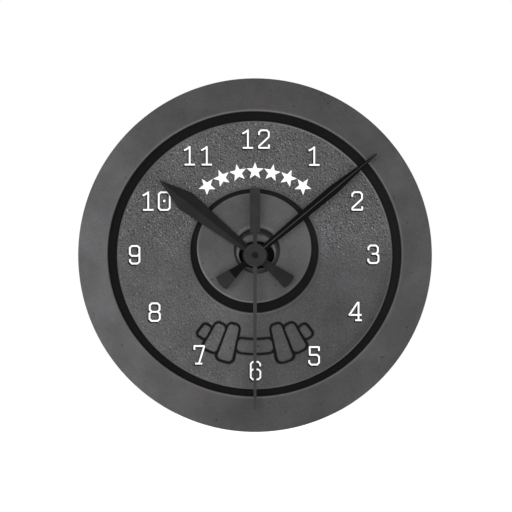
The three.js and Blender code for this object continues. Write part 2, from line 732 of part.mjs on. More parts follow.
function knobOutline() {
  const points = [];
  for (let i = 0; i < KNURLS; i++)
    for (const [turn, radius] of [
      [0, KNOB_RADIUS],
      [0.45, KNOB_RADIUS],
      [0.6, KNOB_RADIUS - 0.4],
      [0.85, KNOB_RADIUS - 0.4],
    ]) {
      const angle = ((i + turn) * 2 * Math.PI) / KNURLS;
      points.push([SETTING[0] + radius * Math.cos(angle), SETTING[1] + radius * Math.sin(angle)]);
    }
  return outline(points);
}

add(
  "setting_knob",
  prism(knobOutline(), KNOB_Z).subtract(rod(SETTING, SETTING_ARBOR_RADIUS + REST_GAP, [1.2, 5], 16)),
  CASE_BLACK,
);
add(
  "setting_arbor",
  union(
    arbor(SETTING, [1.3, PIVOT_FRONT], SETTING_ARBOR_RADIUS),
    toothed(SETTING, TRAIN.setting.pinion, TRAIN.setting.module, settingPhase, [
      CANNON_MESH_Z[0] - 0.2,
      CANNON_MESH_Z[1] + 0.2,
    ]),
  ),
  WHEEL_WHITE,
);

// ---------------------------------------------------------------- stepping motor

const COIL_Y = 22.6;
const COIL_Z = STATOR_Z[0] - REST_GAP - 0.5;
const COIL_HALF = 10.5;
const CORE_END = 15;

function statorPiece() {
  const plate = union(
    box([-CORE_END, CORE_END], [9.9, 18.4], STATOR_Z),
    ...sides.map((side) =>
      box([side * 13.15 - 1.85, side * 13.15 + 1.85], [18, COIL_Y + 1.6], STATOR_Z),
    ),
  );
  const through = [STATOR_Z[0] - 1, STATOR_Z[1] + 1];
  const postHoles = [POSTS[2], POSTS[3]].map((place) => rod(place, POST_RADIUS + 0.3, through, 12));
  const lobes = sides.map((side) => rod([ROTOR[0] + side * 0.3, ROTOR[1]], MAGNET_RADIUS + 0.4, through, 24));
  return plate.subtract(union(...postHoles, ...lobes));
}

function bobbinPiece() {
  const flange = (side) =>
    box([side * (COIL_HALF - 0.4) - 0.4, side * (COIL_HALF - 0.4) + 0.4], [COIL_Y - 3.8, COIL_Y + 3.8], [
      COIL_Z - 3.8,
      COIL_Z + 3.8,
    ]);
  const sleeve = box([-COIL_HALF, COIL_HALF], [COIL_Y - 2.2, COIL_Y + 2.2], [COIL_Z - 1.2, COIL_Z + 1.2]);
  const passage = box(
    [-COIL_HALF - 1, COIL_HALF + 1],
    [COIL_Y - 1.65, COIL_Y + 1.65],
    [COIL_Z - 0.6, COIL_Z + 0.6],
  );
  return union(flange(-1), flange(1), sleeve).subtract(passage);
}

function windingPiece() {
  const length = 2 * (COIL_HALF - 0.8 - REST_GAP);
  const whole = solid(
    new THREE.CylinderGeometry(3.5, 3.5, length, 24).rotateZ(Math.PI / 2).translate(0, COIL_Y, COIL_Z),
  );
  const sleeve = box([-length, length], [COIL_Y - 2.25, COIL_Y + 2.25], [COIL_Z - 1.25, COIL_Z + 1.25]);
  return whole.subtract(sleeve);
}

add("stator_plate", statorPiece(), STEEL);
add(
  "coil_core",
  box([-CORE_END, CORE_END], [COIL_Y - 1.6, COIL_Y + 1.6], [COIL_Z - 0.5, COIL_Z + 0.5]),
  STEEL,
);
add("coil_bobbin", bobbinPiece(), WHEEL_WHITE);
add("coil_winding", windingPiece(), COPPER);

// ---------------------------------------------------------------- circuit

const BOARD_X = [16, 26.4];
const BOARD_Y = [-9.6, 17.6];

function boardPiece() {
  const notch = box([25.5, 27], [-12, -4], [BOARD_Z[0] - 1, BOARD_Z[1] + 1]);
  return box(BOARD_X, BOARD_Y, BOARD_Z).subtract(notch);
}

add("circuit_board", boardPiece(), BOARD_BROWN);

// The chip is a blob of black resin on the back of the board.
const CHIP_BACK = BOARD_Z[0] - REST_GAP;
add(
  "circuit_chip",
  solid(
    turned(
      [
        [0, CHIP_BACK],
        [3, CHIP_BACK],
        [2.6, CHIP_BACK - 0.6],
        [1.5, CHIP_BACK - 1.1],
        [0, CHIP_BACK - 1.3],
      ],
      16,
    ).translate(21, 10, 0),
  ),
  RUBBER,
);
add(
  "quartz_crystal",
  solid(new THREE.CylinderGeometry(1, 1, 6, 14).translate(23.6, 1, BOARD_Z[0] - REST_GAP - 1)),
  STEEL,
);

// ---------------------------------------------------------------- battery contacts and cell

const contactStrip = (side) =>
  box(
    [side * CONTACT_X - CONTACT_SHEET / 2, side * CONTACT_X + CONTACT_SHEET / 2],
    [-24, BAY_TOP - 0.2],
    [2.5, 14.2],
  );

add(
  "contact_positive",
  contactStrip(1).add(
    box([CONTACT_X - CONTACT_SHEET / 2, CONTACT_X + CONTACT_SHEET / 2], [BAY_TOP - 0.3, -5], TONGUE_Z),
  ),
  STEEL,
);

class ConeSpring extends THREE.Curve {
  getPoint(t) {
    const angle = t * SPRING_TURNS * 2 * Math.PI;
    const radius = THREE.MathUtils.lerp(3.4, 1.6, t);
    const x = -CONTACT_X + THREE.MathUtils.lerp(0.1, SPRING_REACH, t);
    const [y, z] = [CELL_HEIGHT + radius * Math.cos(angle), CELL_DEPTH + radius * Math.sin(angle)];
    return new THREE.Vector3(x, y, z);
  }
}
const SPRING_TURNS = 2.25;
const SPRING_WIRE = 0.22;
const SPRING_REACH = CONTACT_X - CELL_LENGTH / 2 - SPRING_WIRE - REST_GAP;

function springPiece() {
  const wire = new THREE.Shape();
  wire.absarc(0, 0, SPRING_WIRE, 0, 2 * Math.PI);
  return solid(
    new THREE.ExtrudeGeometry(wire, { extrudePath: new ConeSpring(), steps: 32, curveSegments: 3 }),
  );
}

add(
  "contact_negative",
  union(
    contactStrip(-1),
    springPiece(),
    box([-CONTACT_X, TAB_X[1]], [BAY_TOP - 0.5, BAY_TOP - 0.2], [TAB_Z[0], 14.2]),
    box(TAB_X, [BAY_TOP - 0.5, -8.6], TAB_Z),
  ),
  STEEL,
);

const LABEL_THICKNESS = 0.15;
const CAN_RADIUS = CELL_RADIUS - LABEL_THICKNESS - 0.02;
const alongCell = (made) => made.rotateZ(-Math.PI / 2).translate(0, CELL_HEIGHT, CELL_DEPTH);
const cellRod = (radius, x, count) => {
  const geometry = new THREE.CylinderGeometry(radius, radius, x[1] - x[0], count);
  return solid(alongCell(geometry.translate(0, (x[0] + x[1]) / 2, 0)));
};
const HALF_CELL = CELL_LENGTH / 2;

add(
  "cell_can",
  union(cellRod(CAN_RADIUS, [-HALF_CELL, HALF_CELL], 28), cellRod(2.7, [HALF_CELL - 0.5, HALF_CELL + 1], 20)),
  STEEL,
);
add(
  "cell_label",
  cellRod(CELL_RADIUS, [-HALF_CELL + 0.4, HALF_CELL - 0.4], 28).subtract(
    cellRod(CAN_RADIUS + 0.02, [-HALF_CELL, HALF_CELL], 28),
  ),
  CELL_WRAP,
);

// ---------------------------------------------------------------- hands

// A blade pointing up from the hand axis, through sections of [distance from the axis, half width]. Its
// front rises to a ridge along the middle.
function blade(sections, back, ridge) {
  const rings = sections.map(([y, half]) => {
    const rise = Math.min(ridge, half / 2);
    return [
      [-half, y, back],
      [half, y, back],
      [half, y, back + HAND_SHEET],
      [0, y, back + HAND_SHEET + rise],
      [-half, y, back + HAND_SHEET],
    ];
  });
  const corners = [];
  const triangle = (...points) => corners.push(...points.flat());
  const last = rings.length - 1;
  for (let i = 0; i < last; i++)
    rings[i].forEach((corner, j) => {
      const k = (j + 1) % rings[i].length;
      triangle(corner, rings[i][k], rings[i + 1][k]);
      triangle(corner, rings[i + 1][k], rings[i + 1][j]);
    });
  for (let j = 1; j + 1 < rings[0].length; j++) {
    triangle(rings[0][0], rings[0][j + 1], rings[0][j]);
    triangle(rings[last][0], rings[last][j], rings[last][j + 1]);
  }
  const geometry = new THREE.BufferGeometry();
  geometry.setAttribute("position", new THREE.BufferAttribute(new Float32Array(corners), 3));
  return solid(geometry);
}

const turnedTo = (made, degrees) => made.rotate([0, 0, -degrees]);
const hubDisc = (radius, back) => rod(CENTRE, radius, [back, back + HAND_SHEET], 32);

const HOUR_BACK = PLATE_FRONT + 0.9;
const HOUR_BLADE = [
  [-25.8, 1.3],
  [-25.4, 2.9],
  [-24.7, 4.37],
  [-17, 3.2],
  [-11, 2.4],
  [0, 2],
  [6, 2.1],
  [13, 2.7],
  [51, 5.95],
  [69.5, 0.15],
];
const MINUTE_BACK = PLATE_FRONT + 2.5;
const MINUTE_BLADE = [
  [-26.1, 1.5],
  [-25.7, 3.4],
  [-25.2, 4.72],
  [-17.1, 3.1],
  [-11, 2],
  [0, 1.8],
  [13, 1.9],
  [37, 2.6],
  [59, 2.9],
  [90.3, 0.45],
  [90.8, 0.25],
];
const SECOND_BACK = PLATE_FRONT + 4;
const NEEDLE = [
  [-38.5, 2.9],
  [-13.2, 2.9],
  [-13, 1.2],
  [0, 1.15],
  [6.6, 1.1],
  [88.5, 0.78],
];

// A hand's collet: a flange behind the hand and a neck through it, pressed onto the shaft.
const collet = (back, neck, flange, shaft) =>
  union(
    rod(CENTRE, flange, [back - 0.55, back - REST_GAP], 24),
    rod(CENTRE, neck, [back - 0.1, back + HAND_SHEET + 0.05], 24),
  ).subtract(rod(CENTRE, shaft + REST_GAP, [back - 1, back + 2], 16));

const HOUR_NECK = 3.3;
const MINUTE_NECK = 2.1;
const handHole = (neck) => rod(CENTRE, neck + REST_GAP, [PLATE_FRONT, PLATE_FRONT + 6], 24);

add(
  "hour_hand",
  turnedTo(
    blade(HOUR_BLADE, HOUR_BACK, 0.45).subtract(rod(CENTRE, 5, [HOUR_BACK - 1, HOUR_BACK + 3])).add(
      hubDisc(6.4, HOUR_BACK),
    ).subtract(handHole(HOUR_NECK)),
    HOUR_ANGLE,
  ),
  HAND_BLACK,
);
add("hour_collet", collet(HOUR_BACK, HOUR_NECK, 4.4, HOUR_PIPE_RADIUS), BRASS);
add(
  "minute_hand",
  turnedTo(
    blade(MINUTE_BLADE, MINUTE_BACK, 0.4).subtract(rod(CENTRE, 5, [MINUTE_BACK - 1, MINUTE_BACK + 3])).add(
      hubDisc(6, MINUTE_BACK),
    ).subtract(handHole(MINUTE_NECK)),
    MINUTE_ANGLE,
  ),
  HAND_BLACK,
);
add("minute_collet", collet(MINUTE_BACK, MINUTE_NECK, 3.2, CANNON_RADIUS), BRASS);
add(
  "second_hand",
  turnedTo(
    blade(NEEDLE, SECOND_BACK, 0.1).add(hubDisc(6.6, SECOND_BACK)).subtract(handHole(1.2)),
    SECOND_ANGLE,
  ),
  SECOND_GREY,
);
const BOSS_HEAD = SECOND_BACK + HAND_SHEET + REST_GAP + 0.1;
add(
  "second_boss",
  union(
    rod(CENTRE, 1.2, [SECOND_BACK - 0.5, BOSS_HEAD + 0.1], 20),
    rod(CENTRE, 1.65, [BOSS_HEAD, BOSS_HEAD + 0.8], 24),
  ).subtract(
    rod(CENTRE, SECOND_ARBOR_RADIUS + REST_GAP, [SECOND_BACK - 1, SECOND_ARBOR_FRONT + REST_GAP], 12),
  ),
  SECOND_GREY,
);

// Up becomes +Z and the face looks along -Y.
clock.children.forEach((mesh) => mesh.geometry.rotateX(Math.PI / 2));

export default clock;
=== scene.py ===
"""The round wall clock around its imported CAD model: a dial moulded like a gym weight plate, printed
numerals, three hands, and the quartz movement behind.

Sizes here are in millimetres in the clock's own frame: x to the viewer's right, y up, z from the wall
towards the viewer, with the hand axis at x = y = 0. at() turns them into Blender's metres, where up is
+Z and the face looks along -Y.
"""

import json
import math

import bmesh
import bpy
import numpy as np
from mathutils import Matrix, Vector

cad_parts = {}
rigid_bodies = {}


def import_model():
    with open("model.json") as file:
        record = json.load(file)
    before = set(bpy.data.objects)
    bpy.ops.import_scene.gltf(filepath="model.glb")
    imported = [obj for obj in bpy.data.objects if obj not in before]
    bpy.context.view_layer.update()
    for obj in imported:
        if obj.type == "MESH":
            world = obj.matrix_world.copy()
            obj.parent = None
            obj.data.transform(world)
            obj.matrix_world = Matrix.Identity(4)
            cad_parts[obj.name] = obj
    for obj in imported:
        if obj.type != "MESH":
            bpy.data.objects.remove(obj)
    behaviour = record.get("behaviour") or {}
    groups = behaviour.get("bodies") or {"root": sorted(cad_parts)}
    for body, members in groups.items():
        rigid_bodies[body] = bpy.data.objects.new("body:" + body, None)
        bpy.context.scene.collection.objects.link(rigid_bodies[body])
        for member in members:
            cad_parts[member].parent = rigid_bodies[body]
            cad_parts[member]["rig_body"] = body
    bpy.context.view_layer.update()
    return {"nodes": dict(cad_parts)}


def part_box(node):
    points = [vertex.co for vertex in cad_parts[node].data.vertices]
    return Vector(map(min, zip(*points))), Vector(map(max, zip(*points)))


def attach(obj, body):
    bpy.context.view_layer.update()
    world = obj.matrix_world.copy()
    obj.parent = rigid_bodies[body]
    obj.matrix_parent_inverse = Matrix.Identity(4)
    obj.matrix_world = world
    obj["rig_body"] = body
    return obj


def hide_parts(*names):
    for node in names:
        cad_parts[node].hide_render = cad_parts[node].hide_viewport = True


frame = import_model()

MM = 0.001
TURN = 2 * math.pi


def at(x, y, z):
    return (x * MM, -z * MM, y * MM)


def box_of(node):
    """A CAD node's box in the clock's frame: ((low x, y, z), (high x, y, z))."""
    low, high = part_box(node)
    return (low.x / MM, low.z / MM, -high.y / MM), (high.x / MM, high.z / MM, -low.y / MM)


# ---------------------------------------------------------------- places, from the frame

PLATE_LOW, PLATE_HIGH = box_of("dial_plate")
PLATE_RADIUS = PLATE_HIGH[0]
BACK = PLATE_LOW[2]
FRONT = PLATE_HIGH[2]
WEB = FRONT - 0.6  # the textured field
PAD = FRONT - 0.4
GROOVE = FRONT - 2.4
BORE_FLOOR = BACK + 3
HOLE = 4.2

# ---------------------------------------------------------------- paths


def rounded_path(corners, closed=False, step=0.3, least=3):
    """Points along a polyline whose corners are (x, y, radius), with an arc at each corner of some radius.
    The arc has at least a given number of steps, and one step is a chamfer."""
    points = []
    count = len(corners)
    for i, (x, y, radius) in enumerate(corners):
        corner = np.array((x, y), float)
        is_end = not closed and i in (0, count - 1)
        if radius <= 0 or is_end:
            points.append(corner)
            continue
        before = np.array(corners[i - 1][:2], float) - corner
        after = np.array(corners[(i + 1) % count][:2], float) - corner
        before_length, after_length = np.linalg.norm(before), np.linalg.norm(after)
        before, after = before / before_length, after / after_length
        half = math.acos(max(-1, min(1, float(before @ after)))) / 2
        reach = min(radius / math.tan(half), before_length * 0.499, after_length * 0.499)
        radius = reach * math.tan(half)
        middle = before + after
        centre = corner + middle / np.linalg.norm(middle) * radius / math.sin(half)
        start, end = corner + before * reach - centre, corner + after * reach - centre
        sweep = math.pi - 2 * half
        turn = math.copysign(sweep, start[0] * end[1] - start[1] * end[0])
        steps = max(least, math.ceil(radius * sweep / step))
        for k in range(steps + 1):
            angle = turn * k / steps
            cos, sin = math.cos(angle), math.sin(angle)
            points.append(centre + (start[0] * cos - start[1] * sin, start[0] * sin + start[1] * cos))
    return [tuple(p) for p in points]


def arc_points(cx, cy, radius, start, end, steps):
    """Points on an arc, with its angles in degrees, anticlockwise from +x."""
    angles = [math.radians(start + (end - start) * i / steps) for i in range(steps + 1)]
    return [(cx + radius * math.cos(a), cy + radius * math.sin(a)) for a in angles]


def turned_clockwise(x, y, degrees):
    """A point turned about the hand axis, clockwise as the viewer sees it."""
    cos, sin = math.cos(math.radians(degrees)), math.sin(math.radians(degrees))
    return x * cos + y * sin, y * cos - x * sin


# ---------------------------------------------------------------- meshes


def add_object(name, data):
    made = bpy.data.objects.new(name, data)
    bpy.context.scene.collection.objects.link(made)
    return made


def piece(name, points, faces, material, body, slot, replaces=(), sharp=35):
    """A named mesh piece from points in the clock's frame, riding on a CAD body."""
    mesh = bpy.data.meshes.new(name)
    mesh.from_pydata([at(*p) for p in points], [], faces)
    mesh.validate()
    face_outward(mesh)
    made = add_object(name, mesh)
    finish_piece(made, material, body, replaces, sharp)
    return made


def face_outward(mesh):
    """Welds the mesh's doubled points and turns its faces outward."""
    work = bmesh.new()
    work.from_mesh(mesh)
    bmesh.ops.remove_doubles(work, verts=work.verts, dist=1e-7)
    bmesh.ops.recalc_face_normals(work, faces=work.faces)
    work.to_mesh(mesh)
    work.free()


def finish_piece(made, material, body, replaces=(), sharp=35):
    made.data.materials.clear()
    made.data.materials.append(material)
    smooth(made, sharp)
    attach(made, body)
    if replaces:
        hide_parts(*replaces)


def smooth(made, sharp):
    mesh = made.data
    mesh.polygons.foreach_set("use_smooth", [True] * len(mesh.polygons))
    mesh.set_sharp_from_angle(angle=math.radians(sharp))
    mesh.update()


def raw(points, faces):
    """A loose mesh object, to be joined to others or cut from them."""
    mesh = bpy.data.meshes.new("raw")
    mesh.from_pydata([at(*p) for p in points], [], faces)
    face_outward(mesh)
    return add_object("raw", mesh)


def prism_data(outline, z):
    count = len(outline)
    points = [(x, y, level) for level in z for x, y in outline]
    faces = [tuple(range(count))[::-1], tuple(range(count, 2 * count))]
    faces += [(i, (i + 1) % count, count + (i + 1) % count, count + i) for i in range(count)]
    return points, faces


def prism(outline, z):
    """A flat outline between two depths."""
    return raw(*prism_data(outline, z))


def block(x, y, z):
    return prism([(x[0], y[0]), (x[1], y[0]), (x[1], y[1]), (x[0], y[1])], z)


def rod(x, y, radius, z, sides=48):
    return prism(arc_points(x, y, radius, 0, 360 * (1 - 1 / sides), sides - 1), z)


def lathe_data(profile, sides, centre=(0, 0)):
    """A closed profile of (radius, z) turned about a line along z. A radius of 0 is a point on the line."""
    points, rings = [], []
    for radius, z in profile:
        if radius < 1e-6:
            rings.append([len(points)] * sides)
            points.append((centre[0], centre[1], z))
            continue
        rings.append(list(range(len(points), len(points) + sides)))
        for i in range(sides):
            angle = TURN * i / sides
            points.append((centre[0] + radius * math.cos(angle), centre[1] + radius * math.sin(angle), z))
    faces = []
    for ring, following in zip(rings, rings[1:] + rings[:1]):
        for i in range(sides):
            j = (i + 1) % sides
            corners = [ring[i], ring[j], following[j], following[i]]
            corners = [c for k, c in enumerate(corners) if c != corners[k - 1]]
            if len(corners) > 2:
                faces.append(tuple(corners))
    return points, faces


def lathe(profile, sides=64, centre=(0, 0)):
    return raw(*lathe_data(profile, sides, centre))


def apply_modifiers(made):
    evaluated = made.evaluated_get(bpy.context.evaluated_depsgraph_get())
    mesh = bpy.data.meshes.new_from_object(evaluated)
    made.modifiers.clear()
    made.data = mesh


def combine(base, others, operation):
    """Joins others to base ("UNION") or cuts them from it ("DIFFERENCE"), and removes them."""
    for other in others:
        modifier = base.modifiers.new("combine", "BOOLEAN")
        modifier.operation = operation
        modifier.solver = "EXACT"
        modifier.object = other
        apply_modifiers(base)
        bpy.data.objects.remove(other)
    return base


def bevel(made, width, segments=2, angle=35):
    modifier = made.modifiers.new("bevel", "BEVEL")
    modifier.width = width * MM
    modifier.segments = segments
    modifier.limit_method = "ANGLE"
    modifier.angle_limit = math.radians(angle)
    modifier.use_clamp_overlap = True
    apply_modifiers(made)
    return made


def finished(made, name, material, body, replaces=(), sharp=35):
    made.name = name
    made.data.name = name
    finish_piece(made, material, body, replaces, sharp)
    return made


# ---------------------------------------------------------------- materials


class Material:
    """A Principled material and short ways to add procedural nodes to it, in the piece's own metres."""

    def __init__(self, name, color, roughness, metallic=0.0, specular=0.5):
        self.material = bpy.data.materials.new(name)
        self.material.use_nodes = True
        self.nodes = self.material.node_tree.nodes
        self.links = self.material.node_tree.links
        self.shader = self.nodes["Principled BSDF"]
        self.shader.inputs["Base Color"].default_value = (*color, 1)
        self.shader.inputs["Roughness"].default_value = roughness
        self.shader.inputs["Metallic"].default_value = metallic
        self.shader.inputs["Specular IOR Level"].default_value = specular
        self.place = self.nodes.new("ShaderNodeTexCoord").outputs["Object"]

    def moved(self, stretch, shift):
        if stretch == (1, 1, 1) and not shift:
            return self.place
        mapping = self.nodes.new("ShaderNodeMapping")
        mapping.inputs["Scale"].default_value = stretch
        mapping.inputs["Location"].default_value = (-shift * MM, 0, -shift * MM)
        self.links.new(self.place, mapping.inputs["Vector"])
        return mapping.outputs["Vector"]

    def noise(self, size, detail=3.0, rough=0.55, stretch=(1, 1, 1), shift=0.0):
        """Soft noise from 0 to 1, with features about size millimetres wide, moved up and right by shift."""
        node = self.nodes.new("ShaderNodeTexNoise")
        node.inputs["Scale"].default_value = 1 / (size * MM)
        node.inputs["Detail"].default_value = detail
        node.inputs["Roughness"].default_value = rough
        self.links.new(self.moved(stretch, shift), node.inputs["Vector"])
        return node.outputs["Fac"]

    def cells(self, size, feature="F1", shift=0.0):
        """Distance to scattered points about size millimetres apart, moved up and right by shift."""
        node = self.nodes.new("ShaderNodeTexVoronoi")
        node.feature = feature
        node.inputs["Scale"].default_value = 1 / (size * MM)
        self.links.new(self.moved((1, 1, 1), shift), node.inputs["Vector"])
        return node.outputs["Distance"]

    def ramp(self, value, low, high, to_low=0.0, to_high=1.0):
        """value spread from low..high to to_low..to_high, and held there."""
        node = self.nodes.new("ShaderNodeMapRange")
        node.interpolation_type = "SMOOTHSTEP"
        for socket, number in zip(node.inputs[1:5], (low, high, to_low, to_high)):
            socket.default_value = number
        self.links.new(value, node.inputs["Value"])
        return node.outputs["Result"]

    def axis(self, name):
        """The place along one axis, in metres."""
        node = self.nodes.new("ShaderNodeSeparateXYZ")
        self.links.new(self.place, node.inputs["Vector"])
        return node.outputs[name]

    def math(self, operation, first, second):
        node = self.nodes.new("ShaderNodeMath")
        node.operation = operation
        for socket, value in zip(node.inputs, (first, second)):
            if isinstance(value, (int, float)):
                socket.default_value = value
            else:
                self.links.new(value, socket)
        return node.outputs[0]

    def attribute(self, name):
        """A number that the mesh holds at each point or face."""
        node = self.nodes.new("ShaderNodeAttribute")
        node.attribute_name = name
        return node.outputs["Fac"]

    def mix(self, factor, first, second, mode="MIX"):
        """Two colours mixed by a factor; each is a colour of three numbers or a socket."""
        node = self.nodes.new("ShaderNodeMix")
        node.data_type = "RGBA"
        node.blend_type = mode
        factor_socket, first_socket, second_socket = (node.inputs[i] for i in (0, 6, 7))
        for socket, value in ((factor_socket, factor), (first_socket, first), (second_socket, second)):
            if isinstance(value, (int, float)):
                socket.default_value = value
            elif isinstance(value, tuple):
                socket.default_value = (*value, 1)
            else:
                self.links.new(value, socket)
        return node.outputs[2]

    def color(self, socket):
        self.links.new(socket, self.shader.inputs["Base Color"])

    def roughness(self, socket):
        self.links.new(socket, self.shader.inputs["Roughness"])

    def bump(self, height, depth, strength=1.0):
        """Fine relief, with depth in millimetres for a height of 1."""
        node = self.nodes.new("ShaderNodeBump")
        node.inputs["Strength"].default_value = strength
        node.inputs["Distance"].default_value = depth * MM
        self.links.new(height, node.inputs["Height"])
        last = self.shader.inputs["Normal"].links
        if last:
            self.links.new(last[0].from_socket, node.inputs["Normal"])
        self.links.new(node.outputs["Normal"], self.shader.inputs["Normal"])


def grey(level):
    return (level, level, level)


def cast_iron():
    """Grey cast iron as the dial is moulded and painted to show it. The mesh says how deep the painted shade
    is (grooves), how much coarse grain there is, the tone with the painted light and shade on the rim, and
    how bright a painted highlight is along an edge."""
    made = Material("cast_iron_dial", grey(0.1), 0.6, specular=0.06)
    shade, grain, painted_light_and_tone, painted_highlight = (made.attribute(name) for name in ("shade", "grain", "painted_light_and_tone", "painted_highlight"))
    patches = made.ramp(made.noise(24, 4, 0.6), 0.32, 0.68, 0.87, 1.13)
    coarse = made.noise(0.8, 2, 0.6)
    # Painted light and shade of an emboss: the noise less the same noise shifted up and right lights one
    # side of each grain and shades the other; scattered dark and light dots join it.
    lit = made.math("SUBTRACT", coarse, made.noise(0.8, 2, 0.6, shift=0.22))
    lit_speckle = made.ramp(lit, -0.17, 0.17, 0.45, 1.55)
    dark_dots = made.ramp(made.cells(1.7), 0.12, 0.36, 0.3, 1)
    light_dots = made.ramp(made.cells(1.9, shift=0.9), 0.1, 0.34, 1.9, 1)
    lit_speckle = made.math("MULTIPLY", lit_speckle, made.math("MULTIPLY", dark_dots, light_dots))
    fine = made.ramp(made.noise(0.6, 1.5), 0.3, 0.7, 0.93, 1.07)
    base = made.mix(1, (0.0775, 0.0768, 0.0792), made.math("MULTIPLY", patches, fine), "MULTIPLY")
    base = made.mix(1, base, made.mix(grain, grey(1), lit_speckle), "MULTIPLY")
    # The tone holds painted light and shade besides the casting's own tone.
    base = made.mix(1, base, painted_light_and_tone, "MULTIPLY")
    pits = made.ramp(made.noise(2.6, 1, 0.4), 0.2, 0.27, 1, 0)
    base = made.mix(made.math("MULTIPLY", pits, 0.8), base, grey(0.016))
    glints = made.ramp(made.noise(1.5, 1.5, 0.5), 0.7, 0.78)
    base = made.mix(made.math("MULTIPLY", glints, made.math("MULTIPLY", grain, 0.4)), base, grey(0.22))
    rust = made.ramp(made.noise(13, 4, 0.7), 0.5, 0.72, 0, 0.3)
    base = made.mix(rust, base, made.mix(1, base, (1.1, 0.93, 0.96), "MULTIPLY"))
    # Painted highlights along edges.
    base = made.mix(made.math("MULTIPLY", painted_highlight, made.ramp(fine, 0.93, 1.07, 0.6, 1)), base, grey(0.19))
    base = made.mix(shade, base, grey(0.0022))
    made.color(base)
    made.roughness(made.ramp(made.noise(2.2, 3), 0.3, 0.7, 0.52, 0.72))
    made.bump(made.math("MULTIPLY", coarse, grain), 0.12)
    made.bump(made.noise(0.5, 2), 0.02)
    return made.material


def plastic(name, color, roughness, size=0.35, depth=0.02, specular=0.4):
    """Moulded plastic with a fine sparked texture and a little unevenness of colour."""
    made = Material(name, color, roughness, specular=specular)
    light = tuple(min(1, c * 1.18 + 0.001) for c in color)
    dark = tuple(c * 0.85 for c in color)
    made.color(made.mix(made.ramp(made.noise(6, 4, 0.6), 0.3, 0.7), dark, light))
    made.roughness(made.ramp(made.noise(3, 4), 0.3, 0.7, roughness - 0.06, roughness + 0.08))
    made.bump(made.noise(size, 3), depth)
    return made.material


def metal(name, color, roughness, stretch=(1, 1, 1), size=0.6, depth=0.006, marks=0.12):
    """Metal with fine working marks along one direction and a slightly clouded surface."""
    made = Material(name, color, roughness, metallic=1.0)
    dark = tuple(c * 0.78 for c in color)
    made.color(made.mix(made.ramp(made.noise(5, 5, 0.65), 0.3, 0.75), dark, color))
    streaks = made.noise(size, 4, 0.6, stretch)
    made.roughness(made.ramp(streaks, 0.25, 0.75, roughness - marks / 2, roughness + marks))
    made.bump(streaks, depth)
    return made.material


def hand_paint(name, color, roughness, specular):
    """Satin paint on a stamped hand, with fine orange peel and a few dust specks. A number that the mesh
    holds scales its colour: its tone, and light and shade painted onto facets, ridges and flat parts."""
    made = Material(name, color, roughness, specular=specular)
    cloud = made.ramp(made.noise(7, 3), 0.3, 0.7, 0.9, 1.1)
    base = made.mix(1, color, made.math("MULTIPLY", cloud, made.attribute("painted_light_and_tone")), "MULTIPLY")
    specks = made.ramp(made.noise(0.7, 1, 0.4), 0.76, 0.8, 0, 0.35)
    made.color(made.mix(specks, base, grey(0.05)))
    made.roughness(made.ramp(made.noise(1.2, 3), 0.3, 0.7, roughness - 0.05, roughness + 0.07))
    made.bump(made.noise(0.45, 2), 0.006)
    return made.material


def ink(name, color, roughness=0.6):
    """Screen-printed ink, very slightly uneven."""
    made = Material(name, color, roughness, specular=0.2)
    worn = tuple(c * 0.93 for c in color)
    made.color(made.mix(made.ramp(made.noise(1.4, 3), 0.35, 0.75), color, worn))
    made.bump(made.noise(0.5, 2), 0.01)
    return made.material


def coil_wire():
    """Fine enamelled copper wire wound round the bobbin, which lies along x."""
    made = Material("coil_wire", (0.52, 0.2, 0.08), 0.35, metallic=0.9)
    node = made.nodes.new("ShaderNodeTexWave")
    node.wave_type = "BANDS"
    node.bands_direction = "X"
    node.inputs["Scale"].default_value = 1 / (0.35 * MM)
    node.inputs["Distortion"].default_value = 0.4
    made.links.new(made.place, node.inputs["Vector"])
    wraps = node.outputs["Fac"]
    made.color(made.mix(wraps, (0.2, 0.06, 0.025), (0.62, 0.25, 0.1)))
    made.bump(wraps, 0.05)
    return made.material


def circuit_board():
    """Brown phenolic board with faint fibres."""
    made = Material("phenolic_board", (0.3, 0.17, 0.06), 0.55)
    fibres = made.noise(1.2, 5, 0.7, (1, 1, 0.15))
    made.color(made.mix(made.ramp(fibres, 0.3, 0.7), (0.2, 0.1, 0.035), (0.36, 0.2, 0.08)))
    made.bump(fibres, 0.02)
    return made.material


def cell_sleeve():
    """A dry cell's printed sleeve: dark blue, with a silver band at the positive end and a pale line
    beside it."""
    blue = (0.02, 0.07, 0.18)
    made = Material("cell_sleeve", blue, 0.32)
    along = made.axis("X")
    band = made.ramp(along, 9.9 * MM, 10 * MM)
    line = made.math("MULTIPLY", made.ramp(along, 8.7 * MM, 8.8 * MM), made.math("SUBTRACT", 1, band))
    cloud = made.ramp(made.noise(4, 3), 0.3, 0.7, 0.92, 1.08)
    base = made.mix(band, blue, (0.42, 0.43, 0.45))
    base = made.mix(line, base, grey(0.72))
    made.color(made.mix(1, base, cloud, "MULTIPLY"))
    made.roughness(made.ramp(made.noise(3, 3), 0.3, 0.7, 0.27, 0.4))
    made.bump(made.noise(3, 2), 0.02)
    return made.material


